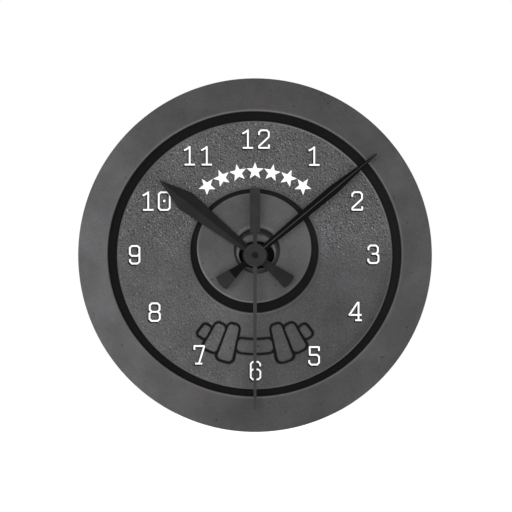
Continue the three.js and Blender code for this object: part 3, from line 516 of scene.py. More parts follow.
MATERIALS = {
    "dial": cast_iron(),
    "ink_white": ink("numeral_white", grey(0.86)),
    "ink_black": ink("numeral_black", grey(0.003)),
    "hour": hand_paint("hour_hand_paint", grey(0.014), 0.45, 0.06),
    "minute": hand_paint("minute_hand_paint", grey(0.003), 0.45, 0.03),
    "second": hand_paint("second_hand_paint", grey(0.021), 0.5, 0.06),
    "case": plastic("case_black", (0.012, 0.0122, 0.013), 0.46),
    "knob": plastic("knob_black", (0.016, 0.0163, 0.0172), 0.36, 0.25, 0.012),
    "wheel_white": plastic("acetal_white", (0.72, 0.7, 0.64), 0.38, 0.3, 0.006),
    "wheel_green": plastic("acetal_green", (0.14, 0.36, 0.25), 0.38, 0.3, 0.006),
    "brass": metal("turned_brass", (0.62, 0.43, 0.17), 0.3, (1, 6, 1)),
    "steel": metal("zinc_plate", (0.52, 0.53, 0.55), 0.36, (8, 1, 1)),
    "black_steel": metal("black_oxide", (0.03, 0.03, 0.033), 0.5, (1, 1, 1), 0.8, 0.01),
    "rubber": plastic("washer_rubber", (0.012, 0.012, 0.012), 0.8, 0.5, 0.03, 0.2),
    "copper": coil_wire(),
    "board": circuit_board(),
    "resin": plastic("chip_resin", (0.008, 0.008, 0.009), 0.3, 1.5, 0.03, 0.5),
    "magnet": metal("sintered_magnet", (0.12, 0.125, 0.14), 0.55, (1, 1, 1), 0.5, 0.015),
    "cell_metal": metal("nickel_can", (0.66, 0.65, 0.63), 0.26, (1, 1, 1), 1.5, 0.004),
    "cell_label": cell_sleeve(),
}

# ---------------------------------------------------------------- dial

# The rings of the casting aren't quite concentric, nor quite round: (radius, right, up, stretch) for some
# rings, and the rings between two of them share it out.
RINGS = np.array(
    (
        (HOLE, 0, 0, 0),
        (9.05, 1, 0, 0.127),
        (10.6, 0.6, 1.9, 0.057),
        (13.4, 1.2, 2.65, 0),
        (32.06, -0.56, 4.2, 0.02),
        (36.38, -0.3, 2.37, 0.017),
        (77.83, -0.2, 0, 0.013),
        (83.3, -0.26, 0.77, 0.015),
        (PLATE_RADIUS - 4, 0, 0, 0),
    )
)
BORE, LIP, STEP, PAD_EDGE, WEB_INNER, WEB_OUTER, RIM_INNER = RINGS[1:8, 0]

DIAL_SIDES = 1080
WALL = 0.6  # how far a groove's wall leans


def dial_profile():
    """The dial's cut face as (radius, z, corner radius), from the hole in its floor out to the rim and
    back."""
    edge = PLATE_RADIUS
    return (
        (HOLE, BORE_FLOOR, 0.15),
        (BORE, BORE_FLOOR, 0.4),
        (BORE, FRONT - 0.1, 0.45),
        (LIP, FRONT - 0.1, 0.3),
        (LIP + 0.3, PAD - 1.4, 0.3),
        (STEP - WALL, PAD - 1.4, 0.4),
        (STEP, PAD, 0.5),
        (PAD_EDGE, PAD, 0.45),
        (PAD_EDGE + WALL, GROOVE, 0.5),
        (WEB_INNER - WALL, GROOVE, 0.5),
        (WEB_INNER, WEB, 0.5),
        (WEB_OUTER, WEB, 0.6),
        (WEB_OUTER + WALL, GROOVE, 0.7),
        (RIM_INNER - WALL, GROOVE, 0.7),
        (RIM_INNER, FRONT - 0.12, 0.6),
        (RIM_INNER + 5, FRONT, 8),
        (edge - 5, FRONT - 0.05, 12),
        (edge - 0.35, FRONT - 0.9, 1.5),
        (edge, FRONT - 2.2, 1.2),
        (edge, BACK + 0.8, 0.4),
        (edge - 0.8, BACK, 0.4),
        (edge - 3.5, BACK, 0.2),
        (edge - 3.9, BACK + 0.5, 0.2),
        (edge - 5.6, BACK + 0.5, 0.2),
        (edge - 6, BACK, 0.2),
        (40, BACK, 0.2),
        (39.6, BACK + 0.35, 0.2),
        (HOLE + 8, BACK + 0.35, 0.2),
        (HOLE + 7.6, BACK, 0.2),
        (HOLE, BACK, 0.2),
    )


def subdivided(path, longest):
    """The closed path with its stretches split where they are longer than longest() says."""
    points = []
    for (x0, y0), (x1, y1) in zip(path, path[1:] + path[:1]):
        steps = max(1, math.ceil(math.hypot(x1 - x0, y1 - y0) / longest(x0, y0)))
        points += [(x0 + (x1 - x0) * i / steps, y0 + (y1 - y0) * i / steps) for i in range(steps)]
    return points


def lattice_noise(x, y, cell, seed):
    """Smooth noise from -1 to 1 with features of one cell, the same on every run."""
    size = 512
    table = np.random.default_rng(seed).uniform(-1, 1, (size, size))
    gx, gy = x / cell + size * 4, y / cell + size * 4
    ix, iy = np.floor(gx).astype(int), np.floor(gy).astype(int)
    fx, fy = gx - ix, gy - iy
    fx, fy = fx * fx * (3 - 2 * fx), fy * fy * (3 - 2 * fy)

    def corner(i, j):
        return table[(ix + i) % size, (iy + j) % size]

    near = corner(0, 0) * (1 - fx) + corner(1, 0) * fx
    far = corner(0, 1) * (1 - fx) + corner(1, 1) * fx
    return near * (1 - fy) + far * fy


def step_up(value, low, high):
    """0 below low and 1 above high, with a smooth step between them."""
    share = np.clip((value - low) / (high - low), 0, 1)
    return share * share * (3 - 2 * share)


# The raised dumbbell sign lies bent along an arc below the centre. Each of its blocks is (from, to) in
# degrees either side of six o'clock, and its height.
SIGN_RADIUS = 52.4
SIGN_BLOCKS = ((-11, 11, 7), (12.5, 20.5, 21), (22, 29.5, 16), (31, 36, 7))


def sign_distance(x, y):
    """Distance outside the nearest block of the sign, in millimetres; negative inside."""
    radius = np.hypot(x, y)
    along = np.degrees(np.arctan2(x, -y)) * math.pi / 180 * SIGN_RADIUS
    nearest = np.full(x.shape, 1e3)
    for start, end, height in SIGN_BLOCKS:
        for side in (1, -1) if start > 0 else (1,):
            middle = side * math.radians((start + end) / 2) * SIGN_RADIUS
            half = math.radians((end - start) / 2) * SIGN_RADIUS
            corner = min(2.2, half * 0.6)
            dx = np.abs(along - middle) - half + corner
            dy = np.abs(radius - SIGN_RADIUS) - height / 2 + corner
            outside = np.hypot(np.maximum(dx, 0), np.maximum(dy, 0))
            inside = np.minimum(np.maximum(dx, dy), 0)
            nearest = np.minimum(nearest, outside + inside - corner)
    return nearest


def toward(x, y, middle, spread):
    """1 at a bearing in degrees, clockwise from twelve o'clock, fading to 0 at a spread either side."""
    away = np.arctan2(x, y) - math.radians(middle)
    return step_up(np.cos(away), math.cos(math.radians(spread)), 1)


def dial_grid():
    """The dial's surface as rows of points, one row for each place on its cut face: x, y, z, and ring, the
    place's own radius."""
    path = rounded_path(dial_profile(), closed=True, step=0.14)
    path = subdivided(path, lambda radius, z: 0.52 if z > FRONT - 1 else 3)
    radius, z = np.array(path).T
    shifts = [np.interp(radius, RINGS[:, 0], RINGS[:, k]) for k in (1, 2, 3)]
    is_back = z < BORE_FLOOR - 0.01
    right, up, stretch = (np.where(is_back & (radius < RIM_INNER), 0, shift) for shift in shifts)
    angle = TURN * np.arange(DIAL_SIDES) / DIAL_SIDES
    x = right[:, None] + np.outer(radius * (1 + stretch), np.cos(angle))
    y = up[:, None] + np.outer(radius * (1 - stretch), np.sin(angle))
    z = np.repeat(z[:, None], DIAL_SIDES, 1)
    ring = np.repeat(radius[:, None], DIAL_SIDES, 1)
    return x, y, z, ring


def dial_areas(x, y, z, ring):
    """How far each point belongs to an area of the dial's face, from 0 to 1, and how rough it is there."""
    front = z > FRONT - 1.3
    inside_web = step_up(ring, WEB_INNER + 0.2, WEB_INNER + 1.4)
    outside = sign_distance(x, y)
    return {
        "front": front,
        "web": front * inside_web * (1 - step_up(ring, WEB_OUTER - 1, WEB_OUTER)),
        "rim": front * step_up(ring, RIM_INNER + 0.2, RIM_INNER + 1.5),
        "pad": front * (1 - step_up(ring, PAD_EDGE - 1.2, PAD_EDGE - 0.2)) * step_up(ring, STEP, STEP + 1),
        "rough": np.maximum(0.32 + 0.68 * step_up(y, -14, 14), 0.6 * step_up(-x, -10, 30)),
        "sign_top": 1 - step_up(outside, -0.35, 0.15),
        "channel": step_up(outside, -0.1, 0.25) * (1 - step_up(outside, 1.35, 1.9)),
    }


def dial_relief(x, y, area):
    """How far the casting's pebbles, its waves and the sign raise each point."""
    web, sign_top, channel = area["web"], area["sign_top"], area["channel"]
    pebbles = lattice_noise(x, y, 1.5, 1) * 0.6 + lattice_noise(x, y, 2.6, 2) * 0.4
    waves = lattice_noise(x, y, 11, 3) * 0.6 + lattice_noise(x, y, 23, 4) * 0.4
    quiet = 1 - 0.6 * sign_top - 0.6 * channel
    relief = web * (0.13 * pebbles * area["rough"] * quiet + 0.07 * waves)
    relief += area["rim"] * (0.012 * pebbles + 0.05 * waves)
    relief += area["pad"] * (0.01 * pebbles + 0.03 * waves)
    return relief + web * (0.6 * sign_top - 0.55 * channel)


def dial_paint(x, y, z, ring, area):
    """The numbers that the dial's material reads at each point."""
    web, rim, pad = area["web"], area["rim"], area["pad"]

    def band(low, high, soft=0.4):
        return step_up(ring, low, low + soft) * (1 - step_up(ring, high - soft, high))

    def side(middle, spread):
        return toward(x, y, middle, spread)

    shade = (0.97 - 0.09 * side(0, 120)) * band(PAD_EDGE + 0.05, WEB_INNER)
    shade += (0.975 - 0.04 * side(80, 60)) * band(WEB_OUTER, RIM_INNER - 0.05)
    shade += 0.9 * band(LIP + 0.05, STEP, 0.8) * (0.6 + 0.4 * side(10, 120))
    shade += 1 - step_up(ring, BORE - 0.3, BORE + 0.1) + 0.97 * web * area["channel"]

    # Painted light and shade: the rim lighter on the left and darker at the top and bottom, as the light
    # falls from the left.
    rim_painted_light = 0.8 + 0.34 * side(258, 75) - 0.12 * side(0, 60) - 0.11 * side(180, 60)
    pad_tone = 0.86 + 0.08 * side(45, 80) + 0.14 * side(225, 60) * step_up(ring, 18, 30)
    # Painted shade on the web next to its grooves: along the inner groove except towards the lower left, and
    # along the outer groove towards the lower right.
    past_wall = step_up(ring, WEB_INNER - 0.4, WEB_INNER - 0.1)
    inner_edge = past_wall * (1 - step_up(ring, WEB_INNER, WEB_INNER + 3))
    painted_edge_shade = 0.2 * inner_edge * area["front"] * (1 - side(205, 45))
    painted_edge_shade += 0.22 * web * step_up(ring, 70, WEB_OUTER) * side(118, 38)
    # The web is darker towards the lower right.
    painted_light_and_tone = 1 + (rim_painted_light - 1) * rim + (pad_tone - 1) * pad - 0.27 * side(140, 65) * web - painted_edge_shade

    # Painted highlights along the edges of the rim's lip, the web, the pad, the step and the bore's lip,
    # each on some sides only.
    painted_highlight = 0.3 * band(RIM_INNER - 0.1, RIM_INNER + 1, 0.3) * (0.35 + 0.65 * side(0, 120))
    painted_highlight += 0.75 * band(WEB_OUTER - 0.9, WEB_OUTER + 0.1, 0.3) * side(40, 48)
    painted_highlight += 0.3 * band(WEB_INNER - 0.1, WEB_INNER + 0.9, 0.3) * side(200, 70)
    painted_highlight += 0.85 * band(PAD_EDGE - 0.9, PAD_EDGE + 0.1, 0.3) * side(225, 80)
    painted_highlight += 0.35 * band(STEP - 0.2, STEP + 1.9, 0.7) * side(0, 75)
    painted_highlight += 0.45 * band(BORE + 0.2, LIP, 0.5) * (0.3 + 0.7 * side(90, 70) + 0.7 * side(270, 70))

    front_only = z > BORE_FLOOR - 0.2
    return {
        "shade": np.clip(shade, 0, 1) * front_only,
        "grain": np.clip(web * area["rough"] + 0.14 * rim + 0.12 * pad, 0, 1),
        "painted_light_and_tone": painted_light_and_tone,
        "painted_highlight": np.clip(painted_highlight, 0, 1) * front_only,
    }


def build_dial():
    x, y, z, ring = dial_grid()
    area = dial_areas(x, y, z, ring)
    z = z + dial_relief(x, y, area)
    rows, sides = x.shape
    first = np.arange(rows * sides).reshape(rows, sides)
    across, along = np.roll(first, -1, 1), np.roll(first, -1, 0)
    faces = np.stack((first, across, np.roll(across, -1, 0), along), 2).reshape(-1, 4)
    mesh = bpy.data.meshes.new("dial")
    points = np.stack((x, y, z), 2).reshape(-1, 3)
    mesh.from_pydata([at(*p) for p in points.tolist()], [], faces.tolist())
    face_outward(mesh)
    for name, values in dial_paint(x, y, z, ring, area).items():
        attribute = mesh.attributes.new(name, "FLOAT", "POINT")
        attribute.data.foreach_set("value", values.astype(np.float32).ravel())
    finish_piece(add_object("dial", mesh), MATERIALS["dial"], "clock_body", ("dial_plate",), 60)


build_dial()

# ---------------------------------------------------------------- numerals and stars

STROKE = 0.98
FOOT = STROKE / 2
TOP = 11.05 - STROKE / 2
WAIST = 5.7
SIDE = 2.95
CHAMFER = 1.15


def bowl(half, low, high):
    corners = ((-half, low), (half, low), (half, high), (-half, high))
    return [(x, y, CHAMFER) for x, y in corners], True


# Each digit's strokes, as corners of (x, y, corner radius) along the stroke's middle, and whether the
# stroke closes.
DIGITS = {
    "0": [bowl(SIDE + 0.2, FOOT, TOP), ([(-0.6, 5.6, 0), (0.6, 5.6, 0)], False)],
    "1": [
        ([(-2.6, 8.8, 0), (-1.7, 9, 0.3), (0.5, TOP - 0.1, 0)], False),
        ([(0.6, TOP + 0.45, 0), (0.6, FOOT, 0)], False),
        ([(-2.3, FOOT, 0), (3.6, FOOT, 0)], False),
    ],
    "2": [
        (
            [
                (-2.8, 7.9, 0),
                (-2.8, TOP, CHAMFER),
                (2.8, TOP, CHAMFER),
                (2.8, 6.7, 0.8),
                (-2.7, 1.6, 0.2),
                (-2.8, FOOT, 0.15),
                (2.9, FOOT, 0.15),
                (2.9, 2.4, 0),
            ],
            False,
        )
    ],
    "3": [
        (
            [
                (-2.8, 7.9, 0),
                (-2.8, TOP, CHAMFER),
                (2.6, TOP, CHAMFER),
                (2.6, WAIST + 0.1, CHAMFER),
                (-0.9, WAIST + 0.1, 0),
            ],
            False,
        ),
        (
            [
                (0.4, WAIST + 0.1, 0),
                (2.95, WAIST + 0.1, CHAMFER),
                (2.95, FOOT, CHAMFER),
                (-2.9, FOOT, CHAMFER),
                (-2.9, 3, 0),
            ],
            False,
        ),
    ],
    "4": [
        ([(2, TOP, 0), (1.6, TOP, 0.1), (-3.2, 3.5, 0.1), (3.9, 3.5, 0)], False),
        ([(2.1, TOP + 0.45, 0), (2.1, FOOT, 0)], False),
        ([(0.2, FOOT, 0), (4, FOOT, 0)], False),
    ],
    "5": [
        (
            [
                (2.7, 8.3, 0),
                (2.7, TOP, 0.15),
                (-2.6, TOP, 0.15),
                (-2.6, 6.1, 0.15),
                (2.75, 6.1, CHAMFER),
                (2.75, FOOT, CHAMFER),
                (-2.9, FOOT, CHAMFER),
                (-2.9, 3.1, 0),
            ],
            False,
        )
    ],
    "6": [
        bowl(SIDE - 0.2, FOOT, 6.2),
        (
            [
                (0.2 - SIDE, 3.6, 0),
                (0.2 - SIDE, TOP, CHAMFER),
                (SIDE - 0.3, TOP, CHAMFER),
                (SIDE - 0.3, 8, 0),
            ],
            False,
        ),
    ],
    "7": [
        ([(-2.8, 8.4, 0), (-2.8, TOP, 0.15), (2.9, TOP, 0.15), (-0.2, FOOT, 0)], False),
        ([(-2.3, FOOT, 0), (1.7, FOOT, 0)], False),
    ],
    "8": [bowl(SIDE - 0.15, WAIST, TOP), bowl(SIDE, FOOT, WAIST)],
    "9": [
        bowl(SIDE - 0.2, 4.9, TOP),
        (
            [
                (SIDE - 0.2, 7.6, 0),
                (SIDE - 0.2, FOOT, CHAMFER),
                (0.3 - SIDE, FOOT, CHAMFER),
                (0.3 - SIDE, 3, 0),
            ],
            False,
        ),
    ],
}
DIGIT_ADVANCE = 9.8
DIGIT_MIDDLE = 5.6
# Where the middle of each numeral is printed, from the dial's centre. They follow the hours only roughly.
PLACES = {
    1: (33.4, 56.9),
    2: (58.6, 31.2),
    3: (67.9, 0.6),
    4: (57.3, -32.2),
    5: (34, -57.7),
    6: (0.3, -66.2),
    7: (-32, -57.1),
    8: (-57.6, -32.6),
    9: (-69.1, 0.3),
    10: (-57, 31.1),
    11: (-33.2, 57.1),
    12: (0.2, 66.7),
}


def unit(vectors):
    return vectors / np.maximum(np.linalg.norm(vectors, axis=1, keepdims=True), 1e-9)


def to_the_left(vectors):
    return np.stack((-vectors[:, 1], vectors[:, 0]), 1)


def ribbon(path, closed, width, z, thickness):
    """A flat printed stroke of one width along a path."""
    line = np.array(path, float)
    following = np.roll(line, -1, 0) - line
    previous = line - np.roll(line, 1, 0)
    if not closed:
        following[-1], previous[0] = previous[-1], following[0]
    following, previous = unit(following), unit(previous)
    across = to_the_left(unit(following + previous))
    narrowing = np.sum(across * to_the_left(following), 1, keepdims=True)
    offset = across / np.maximum(narrowing, 0.35) * width / 2
    left, right = line + offset, line - offset
    points, faces = [], []
    for a, b in zip(left, right):
        points += [(*a, z), (*b, z), (*b, z + thickness), (*a, z + thickness)]
    count = len(line)
    for i in range(count if closed else count - 1):
        j = (i + 1) % count
        for k in range(4):
            faces.append((4 * i + k, 4 * i + (k + 1) % 4, 4 * j + (k + 1) % 4, 4 * j + k))
    if not closed:
        faces += [(0, 1, 2, 3), (4 * count - 1, 4 * count - 2, 4 * count - 3, 4 * count - 4)]
    return points, faces


def joined(parts):
    """The points and faces of several parts as those of one."""
    points, faces = [], []
    for some_points, some_faces in parts:
        start = len(points)
        points += some_points
        faces += [tuple(start + i for i in face) for face in some_faces]
    return points, faces


def numeral_parts(shift, z, lift):
    """The strokes of all twelve numerals. Each stroke lies a hair over the one before it, so that none
    coincide."""
    parts = []
    for hour, (middle_x, middle_y) in PLACES.items():
        text = str(hour)
        for place, digit in enumerate(text):
            x = middle_x + shift[0] + (place - (len(text) - 1) / 2) * DIGIT_ADVANCE
            y = middle_y + shift[1] - DIGIT_MIDDLE
            for order, (corners, closed) in enumerate(DIGITS[digit]):
                path = [(px + x, py + y) for px, py in rounded_path(corners, closed, 9, 1)]
                width = STROKE * 1.3 if digit == "0" and order else STROKE
                parts.append(ribbon(path, closed, width, z, lift + 0.01 * order))
    return parts


INK_BACK = WEB - 0.3
SHADOW_TOP = WEB + 0.32
INK_TOP = WEB + 0.42
SHADOW_SHIFT = (-0.62, -0.78)

piece(
    "numeral_shadows",
    *joined(numeral_parts(SHADOW_SHIFT, INK_BACK, SHADOW_TOP - INK_BACK)),
    MATERIALS["ink_black"],
    "clock_body",
    "dial",
)
piece(
    "numerals",
    *joined(numeral_parts((0, 0), INK_BACK, INK_TOP - INK_BACK)),
    MATERIALS["ink_white"],
    "clock_body",
    "dial",
)

STAR_COUNT = 7
STAR_STEP = 11.6
STAR_RADIUS = 48.2
STAR_SIZE = 5.1


def star_part(degrees):
    """A five-pointed star at a bearing, its two flat faces fanned round their middles."""
    outline = []
    for i in range(10):
        angle = math.radians(90 + 36 * i)
        size = STAR_SIZE if i % 2 == 0 else STAR_SIZE * 0.42
        x, y = size * math.cos(angle), STAR_RADIUS + size * math.sin(angle)
        outline.append(turned_clockwise(x, y, degrees))
    points, faces = prism_data(outline, (INK_BACK, INK_TOP))
    middle_x, middle_y = turned_clockwise(0, STAR_RADIUS, degrees)
    back_middle, front_middle = len(points), len(points) + 1
    points += [(middle_x, middle_y, INK_BACK), (middle_x, middle_y, INK_TOP)]
    fans = []
    for i in range(10):
        j = (i + 1) % 10
        fans += [(i, j, back_middle), (10 + i, 10 + j, front_middle)]
    return points, fans + faces[2:]


STAR_ANGLES = [STAR_STEP * (i - (STAR_COUNT - 1) / 2) for i in range(STAR_COUNT)]
piece("stars", *joined([star_part(a) for a in STAR_ANGLES]), MATERIALS["ink_white"], "clock_body", "dial")

# ---------------------------------------------------------------- hands

HOUR_ANGLE = 308
MINUTE_ANGLE = 50.2
SECOND_ANGLE = 180
HAND_SHEET = 0.4


def blade(sections, back, ridge, crest=0.3, edge=0.06):
    """A stamped hand that points up, through sections of (distance from the axis, half width), with a ridge
    along its middle that ends in a narrow flat crest, and a small chamfer along its edges."""
    points, faces = [], []
    top = back + HAND_SHEET
    for y, half in sections:
        chamfer = min(edge, half * 0.4)
        rise = min(ridge, half / 2)
        flat = min(crest / 2, half * 0.2)
        points += [
            (-half, y, back),
            (half, y, back),
            (half, y, top - chamfer),
            (half - chamfer, y, top),
            (flat, y, top + rise),
            (-flat, y, top + rise),
            (chamfer - half, y, top),
            (-half, y, top - chamfer),
        ]
    corners = 8
    for i in range(len(sections) - 1):
        for k in range(corners):
            low, high = corners * i, corners * (i + 1)
            faces.append((low + k, low + (k + 1) % corners, high + (k + 1) % corners, high + k))
    end = corners * (len(sections) - 1)
    faces += [tuple(range(corners))[::-1], tuple(range(end, end + corners))]
    return raw(points, faces)


def paint_faces(made, tone_at):
    """Gives each face a factor on its colour from its middle in the clock's frame, for tone and for painted
    light and shade; 1 is the paint's own colour.
    """
    tones = []
    for face in made.data.polygons:
        x, y, z = face.center.x / MM, face.center.z / MM, -face.center.y / MM
        tones.append(tone_at(x, y, z))
    made.data.attributes.new("painted_light_and_tone", "FLOAT", "FACE").data.foreach_set("value", tones)


def curved_sections(places, step=1.2):
    """Sections through a few (distance, half width) places, joined by a smooth curve."""
    places = np.array(places, float)
    stretches = [
        np.linspace(start, end, max(2, int(abs(end - start) / step)), endpoint=False)
        for start, end in zip(places[:-1, 0], places[1:, 0])
    ]
    distance = np.concatenate(stretches + [places[-1:, 0]])
    slope = np.gradient(places[:, 1], places[:, 0])
    widths = []
    for value in distance:
        i = min(max(np.searchsorted(places[:, 0], value, "right") - 1, 0), len(places) - 2)
        span = places[i + 1, 0] - places[i, 0]
        t = (value - places[i, 0]) / span
        widths.append(
            (2 * t**3 - 3 * t**2 + 1) * places[i, 1]
            + (t**3 - 2 * t**2 + t) * span * slope[i]
            + (3 * t**2 - 2 * t**3) * places[i + 1, 1]
            + (t**3 - t**2) * span * slope[i + 1]
        )
    return list(zip(distance.tolist(), widths))


def turn_to(made, degrees):
    """Turns a hand clockwise about the hand axis, in its mesh."""
    for vertex in made.data.vertices:
        x, y = turned_clockwise(vertex.co.x, vertex.co.z, degrees)
        vertex.co.x, vertex.co.z = x, y
    return made


def round_end(tip, corner, half, steps=7):
    """Sections of a tail's rounded end, from its tip to the corners where it has its full half width."""
    radius = (half**2 + (corner - tip) ** 2) / (2 * (corner - tip))
    sections = []
    for i in range(1, steps + 1):
        reach = (corner - tip) * (i / steps) ** 2
        sections.append((tip + reach, math.sqrt(2 * radius * reach - reach**2)))
    return sections


HOUR_BACK = box_of("hour_hand")[0][2]
MINUTE_BACK = box_of("minute_hand")[0][2]
SECOND_BACK = box_of("second_hand")[0][2]


def ringed_hub(radius, back, hole, rim=0.9, recess=0.12):
    """A hand's round middle, with a raised rim and a hole for its collet."""
    top = back + HAND_SHEET
    return lathe(
        [
            (hole, back),
            (radius - 0.08, back),
            (radius, back + 0.08),
            (radius, top - 0.1),
            (radius - 0.12, top),
            (radius - rim, top),
            (radius - rim - 0.15, top - recess),
            (hole, top - recess),
        ],
        96,
    )


def build_hour_hand():
    tail = curved_sections([(-24.7, 4.37), (-17, 3.2), (-11, 2.4), (-4, 2)])
    arm = [(6, 2.1), (13, 2.7), (50.2, 5.87), (51, 5.93), (51.9, 5.62), (69.5, 0.12)]
    made = blade(round_end(-25.9, -24.7, 4.37)[:-1] + tail + arm, HOUR_BACK, 0.5)
    combine(made, [rod(0, 0, 5.4, (HOUR_BACK - 1, HOUR_BACK + 3))], "DIFFERENCE")
    combine(made, [ringed_hub(6.4, HOUR_BACK, 3.4)], "UNION")
    # Painted light and shade: the left facet lighter and the right facet darker, as lit from the left.
    paint_faces(made, lambda x, y, z: 0.9 if y < 6 else 1.1 if x < 0 else 0.62)
    turn_to(made, HOUR_ANGLE)
    finished(made, "hour_hand_blade", MATERIALS["hour"], "hour_group", ("hour_hand",), 18)


def build_minute_hand():
    tail = curved_sections([(-25.2, 4.72), (-17.1, 3.1), (-11, 2), (-4, 1.8)])
    arm = [(6, 1.83), (13, 1.9), (37, 2.6), (58, 2.88), (59, 2.9), (60, 2.82), (90.3, 0.45), (90.8, 0.25)]
    made = blade(round_end(-26.2, -25.2, 4.72)[:-1] + tail + arm, MINUTE_BACK, 0.42, 0.4)
    combine(made, [rod(0, 0, 5, (MINUTE_BACK - 1, MINUTE_BACK + 3))], "DIFFERENCE")
    combine(made, [ringed_hub(6, MINUTE_BACK, 2.2)], "UNION")
    # A painted reflection lightens the tail's flat flare, and a painted highlight runs along the ridge's
    # crest.
    paint_faces(made, lambda x, y, z: 7 if y < -17.1 else 16 if 6 < y < 85 and abs(x) < 0.19 else 1)
    turn_to(made, MINUTE_ANGLE)
    finished(made, "minute_hand_blade", MATERIALS["minute"], "minute_group", ("minute_hand",), 18)


def build_second_hand():
    counterweight = [(-38.5, 2.84), (-38.4, 2.9), (-13.3, 2.9), (-13.2, 2.84)]
    needle = [(-13.1, 1.2), (0, 1.15), (6.6, 1.1), (88.5, 0.78)]
    made = blade(counterweight + needle, SECOND_BACK, 0.03, 0.6, 0.1)
    combine(made, [rod(0, 0, 5.4, (SECOND_BACK - 1, SECOND_BACK + 3))], "DIFFERENCE")
    combine(made, [ringed_hub(6.6, SECOND_BACK, 1.25, 1.6, 0.07)], "UNION")
    paint_faces(made, lambda x, y, z: 1.07 if y < 6.5 else 1.35 if abs(x) < 0.5 else 1.75)
    turn_to(made, SECOND_ANGLE)
    replaced = ("second_hand",)
    finished(made, "second_hand_needle", MATERIALS["second"], "second_group", replaced, 18)


def build_second_boss():
    low, high = box_of("second_boss")
    radius = high[0]
    back, front = low[2], high[2]
    head = front - 0.8
    profile = [
        (0.45, back),
        (1.18, back),
        (1.18, head),
        (radius - 0.1, head),
        (radius, head + 0.1),
        (radius, front - 0.3),
        (radius - 0.12, front - 0.1),
        (radius - 0.4, front),
        (0.5, front - 0.12),
        (0, front - 0.15),
        (0, front - 0.5),
        (0.45, front - 0.5),
    ]
    made = lathe(profile, 64)
    paint_faces(made, lambda x, y, z: 0.3)
    replaced = ("second_boss",)
    finished(made, "second_hand_boss", MATERIALS["second"], "second_group", replaced, 40)


build_hour_hand()
build_minute_hand()
build_second_hand()
build_second_boss()

# ---------------------------------------------------------------- pieces refined from the CAD model


def refined(node, name, material, width, cuts=()):
    """A CAD node's shape with its flat faces made whole, marks cut into it and its edges rounded."""
    source = frame["nodes"][node]
    mesh = source.data.copy()
    mesh.name = name
    made = add_object(name, mesh)
    work = bmesh.new()
    work.from_mesh(mesh)
    bmesh.ops.remove_doubles(work, verts=work.verts, dist=1e-6)
    bmesh.ops.dissolve_limit(work, angle_limit=math.radians(0.6), verts=work.verts, edges=work.edges)
    work.to_mesh(mesh)
    work.free()
    combine(made, cuts, "DIFFERENCE")
    bevel(made, width)
    smooth(made, 35)
    modifier = made.modifiers.new("normals", "WEIGHTED_NORMAL")
    modifier.keep_sharp = True
    apply_modifiers(made)
    finish_piece(made, MATERIALS[material], source["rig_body"], (node,))
    return made


REFINED = (
    # The washer takes the black oxide finish as painted shade, so that it looks as dark as the shade in the
    # bore.
    ("dial_washer", "dial_washer_disc", "black_steel", "steel", 0.08),
    ("dial_nut", "hex_nut", "black_steel", "black_steel", 0.15),
    ("rubber_washer", "rubber_ring", "rubber", "rubber", 0.12),
    ("threaded_bushing", "bushing_body", "brass", "brass", 0.08),
    ("hanger_bracket", "hanger_strip", "steel", "steel", 0.12),
    ("front_case", "case_tub", "case", "case", 0.2),
    ("setting_knob", "knob", "knob", "case", 0.15),
    ("cell_can", "cell_body", "cell_metal", "cell_metal", 0.3),
    ("cell_label", "cell_sleeve", "cell_label", "cell_label", 0.05),
)
for node, name, material, slot, width in REFINED:
    refined(node, name, material, width)


def build_cover():
    """The cover carries the cell's polarity as sunk marks above its ends."""
    across, engraved = (-8.9, -8.3), (-1, 0.25)
    plus_x, minus_x = 22, -22
    marks = [
        block((plus_x - 1.5, plus_x + 1.5), across, engraved),
        block((plus_x - 0.3, plus_x + 0.3), (-10.1, -7.1), engraved),
        block((minus_x - 1.5, minus_x + 1.5), across, engraved),
    ]
    refined("rear_cover", "case_cover", "case", 0.12, marks)


def build_knob_arrow():
    """A raised arrow on the knob shows which way it sets the hands."""
    low, high = box_of("setting_knob")
    x, y = (low[0] + high[0]) / 2, (low[1] + high[1]) / 2
    end = math.radians(290)
    tip = math.radians(325)
    head = [(5.6, end), (4.1, tip), (2.6, end)]
    outline = arc_points(x, y, 4.5, 30, 290, 40)
    outline += [(x + radius * math.cos(angle), y + radius * math.sin(angle)) for radius, angle in head]
    outline += arc_points(x, y, 3.7, 290, 30, 40)
    points, faces = prism_data(outline, (low[2] - 0.16, low[2] + 0.2))
    body = frame["nodes"]["setting_knob"]["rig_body"]
    piece("knob_arrow", points, faces, MATERIALS["knob"], body, "case")


build_cover()
build_knob_arrow()

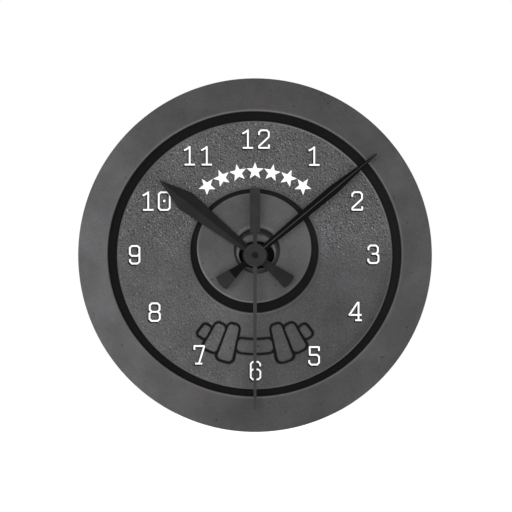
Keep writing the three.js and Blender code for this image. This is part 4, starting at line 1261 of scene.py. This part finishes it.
CARRIED = {
    "wheel_white": (
        "rotor_pinion",
        "intermediate_wheel",
        "third_wheel",
        "centre_wheel",
        "minute_work_wheel",
        "setting_arbor",
        "coil_bobbin",
    ),
    "wheel_green": ("second_wheel", "hour_wheel"),
    "case": ("train_bridge",),
    "steel": (
        "second_arbor",
        "stator_plate",
        "coil_core",
        "contact_positive",
        "contact_negative",
        "quartz_crystal",
    ),
    "brass": ("cannon_pinion", "hour_collet", "minute_collet"),
    "magnet": ("rotor_magnet",),
    "copper": ("coil_winding",),
    "board": ("circuit_board",),
    "resin": ("circuit_chip",),
}
for material, nodes in CARRIED.items():
    for node in nodes:
        data = frame["nodes"][node].data
        data.materials.clear()
        data.materials.append(MATERIALS[material])

# ---------------------------------------------------------------- floor, lights and camera


def floor():
    half, y = 1500, PLATE_LOW[1] - 45
    made = raw([(-half, y, -half), (half, y, -half), (half, y, half), (-half, y, half)], [(0, 1, 2, 3)])
    made.name = "floor"
    paint = Material("floor_paint", grey(0.9), 0.9, specular=0.1)
    paint.shader.inputs["Emission Color"].default_value = (1, 1, 1, 1)
    paint.shader.inputs["Emission Strength"].default_value = 0.35
    made.data.materials.append(paint.material)


def area_light(name, place, size, power):
    """A soft lamp that faces the middle of the dial."""
    light = bpy.data.lights.new(name, "AREA")
    light.shape = "DISK"
    light.size = size * MM
    light.energy = power
    lamp = add_object(name, light)
    lamp.location = at(*place)
    lamp.rotation_mode = "QUATERNION"
    lamp.rotation_quaternion = (-lamp.location).to_track_quat("-Z", "Y")


def lights():
    world = bpy.data.worlds.new("studio")
    world.use_nodes = True
    world.node_tree.nodes["Background"].inputs["Color"].default_value = (1, 1, 1, 1)
    world.node_tree.nodes["Background"].inputs["Strength"].default_value = 1.0
    bpy.context.scene.world = world
    bpy.context.scene.view_settings.view_transform = "Standard"
    area_light("key", (-1100, 500, 1300), 900, 7)
    area_light("fill", (1100, 250, 1300), 900, 3)


CAMERA_DISTANCE = 2500
VIEW_WIDTH = 293.8  # what the picture's width takes in at the dial
VIEW_SHIFT = (0.56, -0.48)


def camera():
    data = bpy.data.cameras.new("camera")
    data.sensor_width = 36
    data.lens = 36 * (CAMERA_DISTANCE - FRONT) / VIEW_WIDTH
    data.clip_end = 100
    made = add_object("camera", data)
    made.location = at(VIEW_SHIFT[0], VIEW_SHIFT[1], CAMERA_DISTANCE)
    made.rotation_mode = "QUATERNION"
    made.rotation_quaternion = Vector((0, 1, 0)).to_track_quat("-Z", "Y")
    bpy.context.scene.camera = made


floor()
lights()
camera()
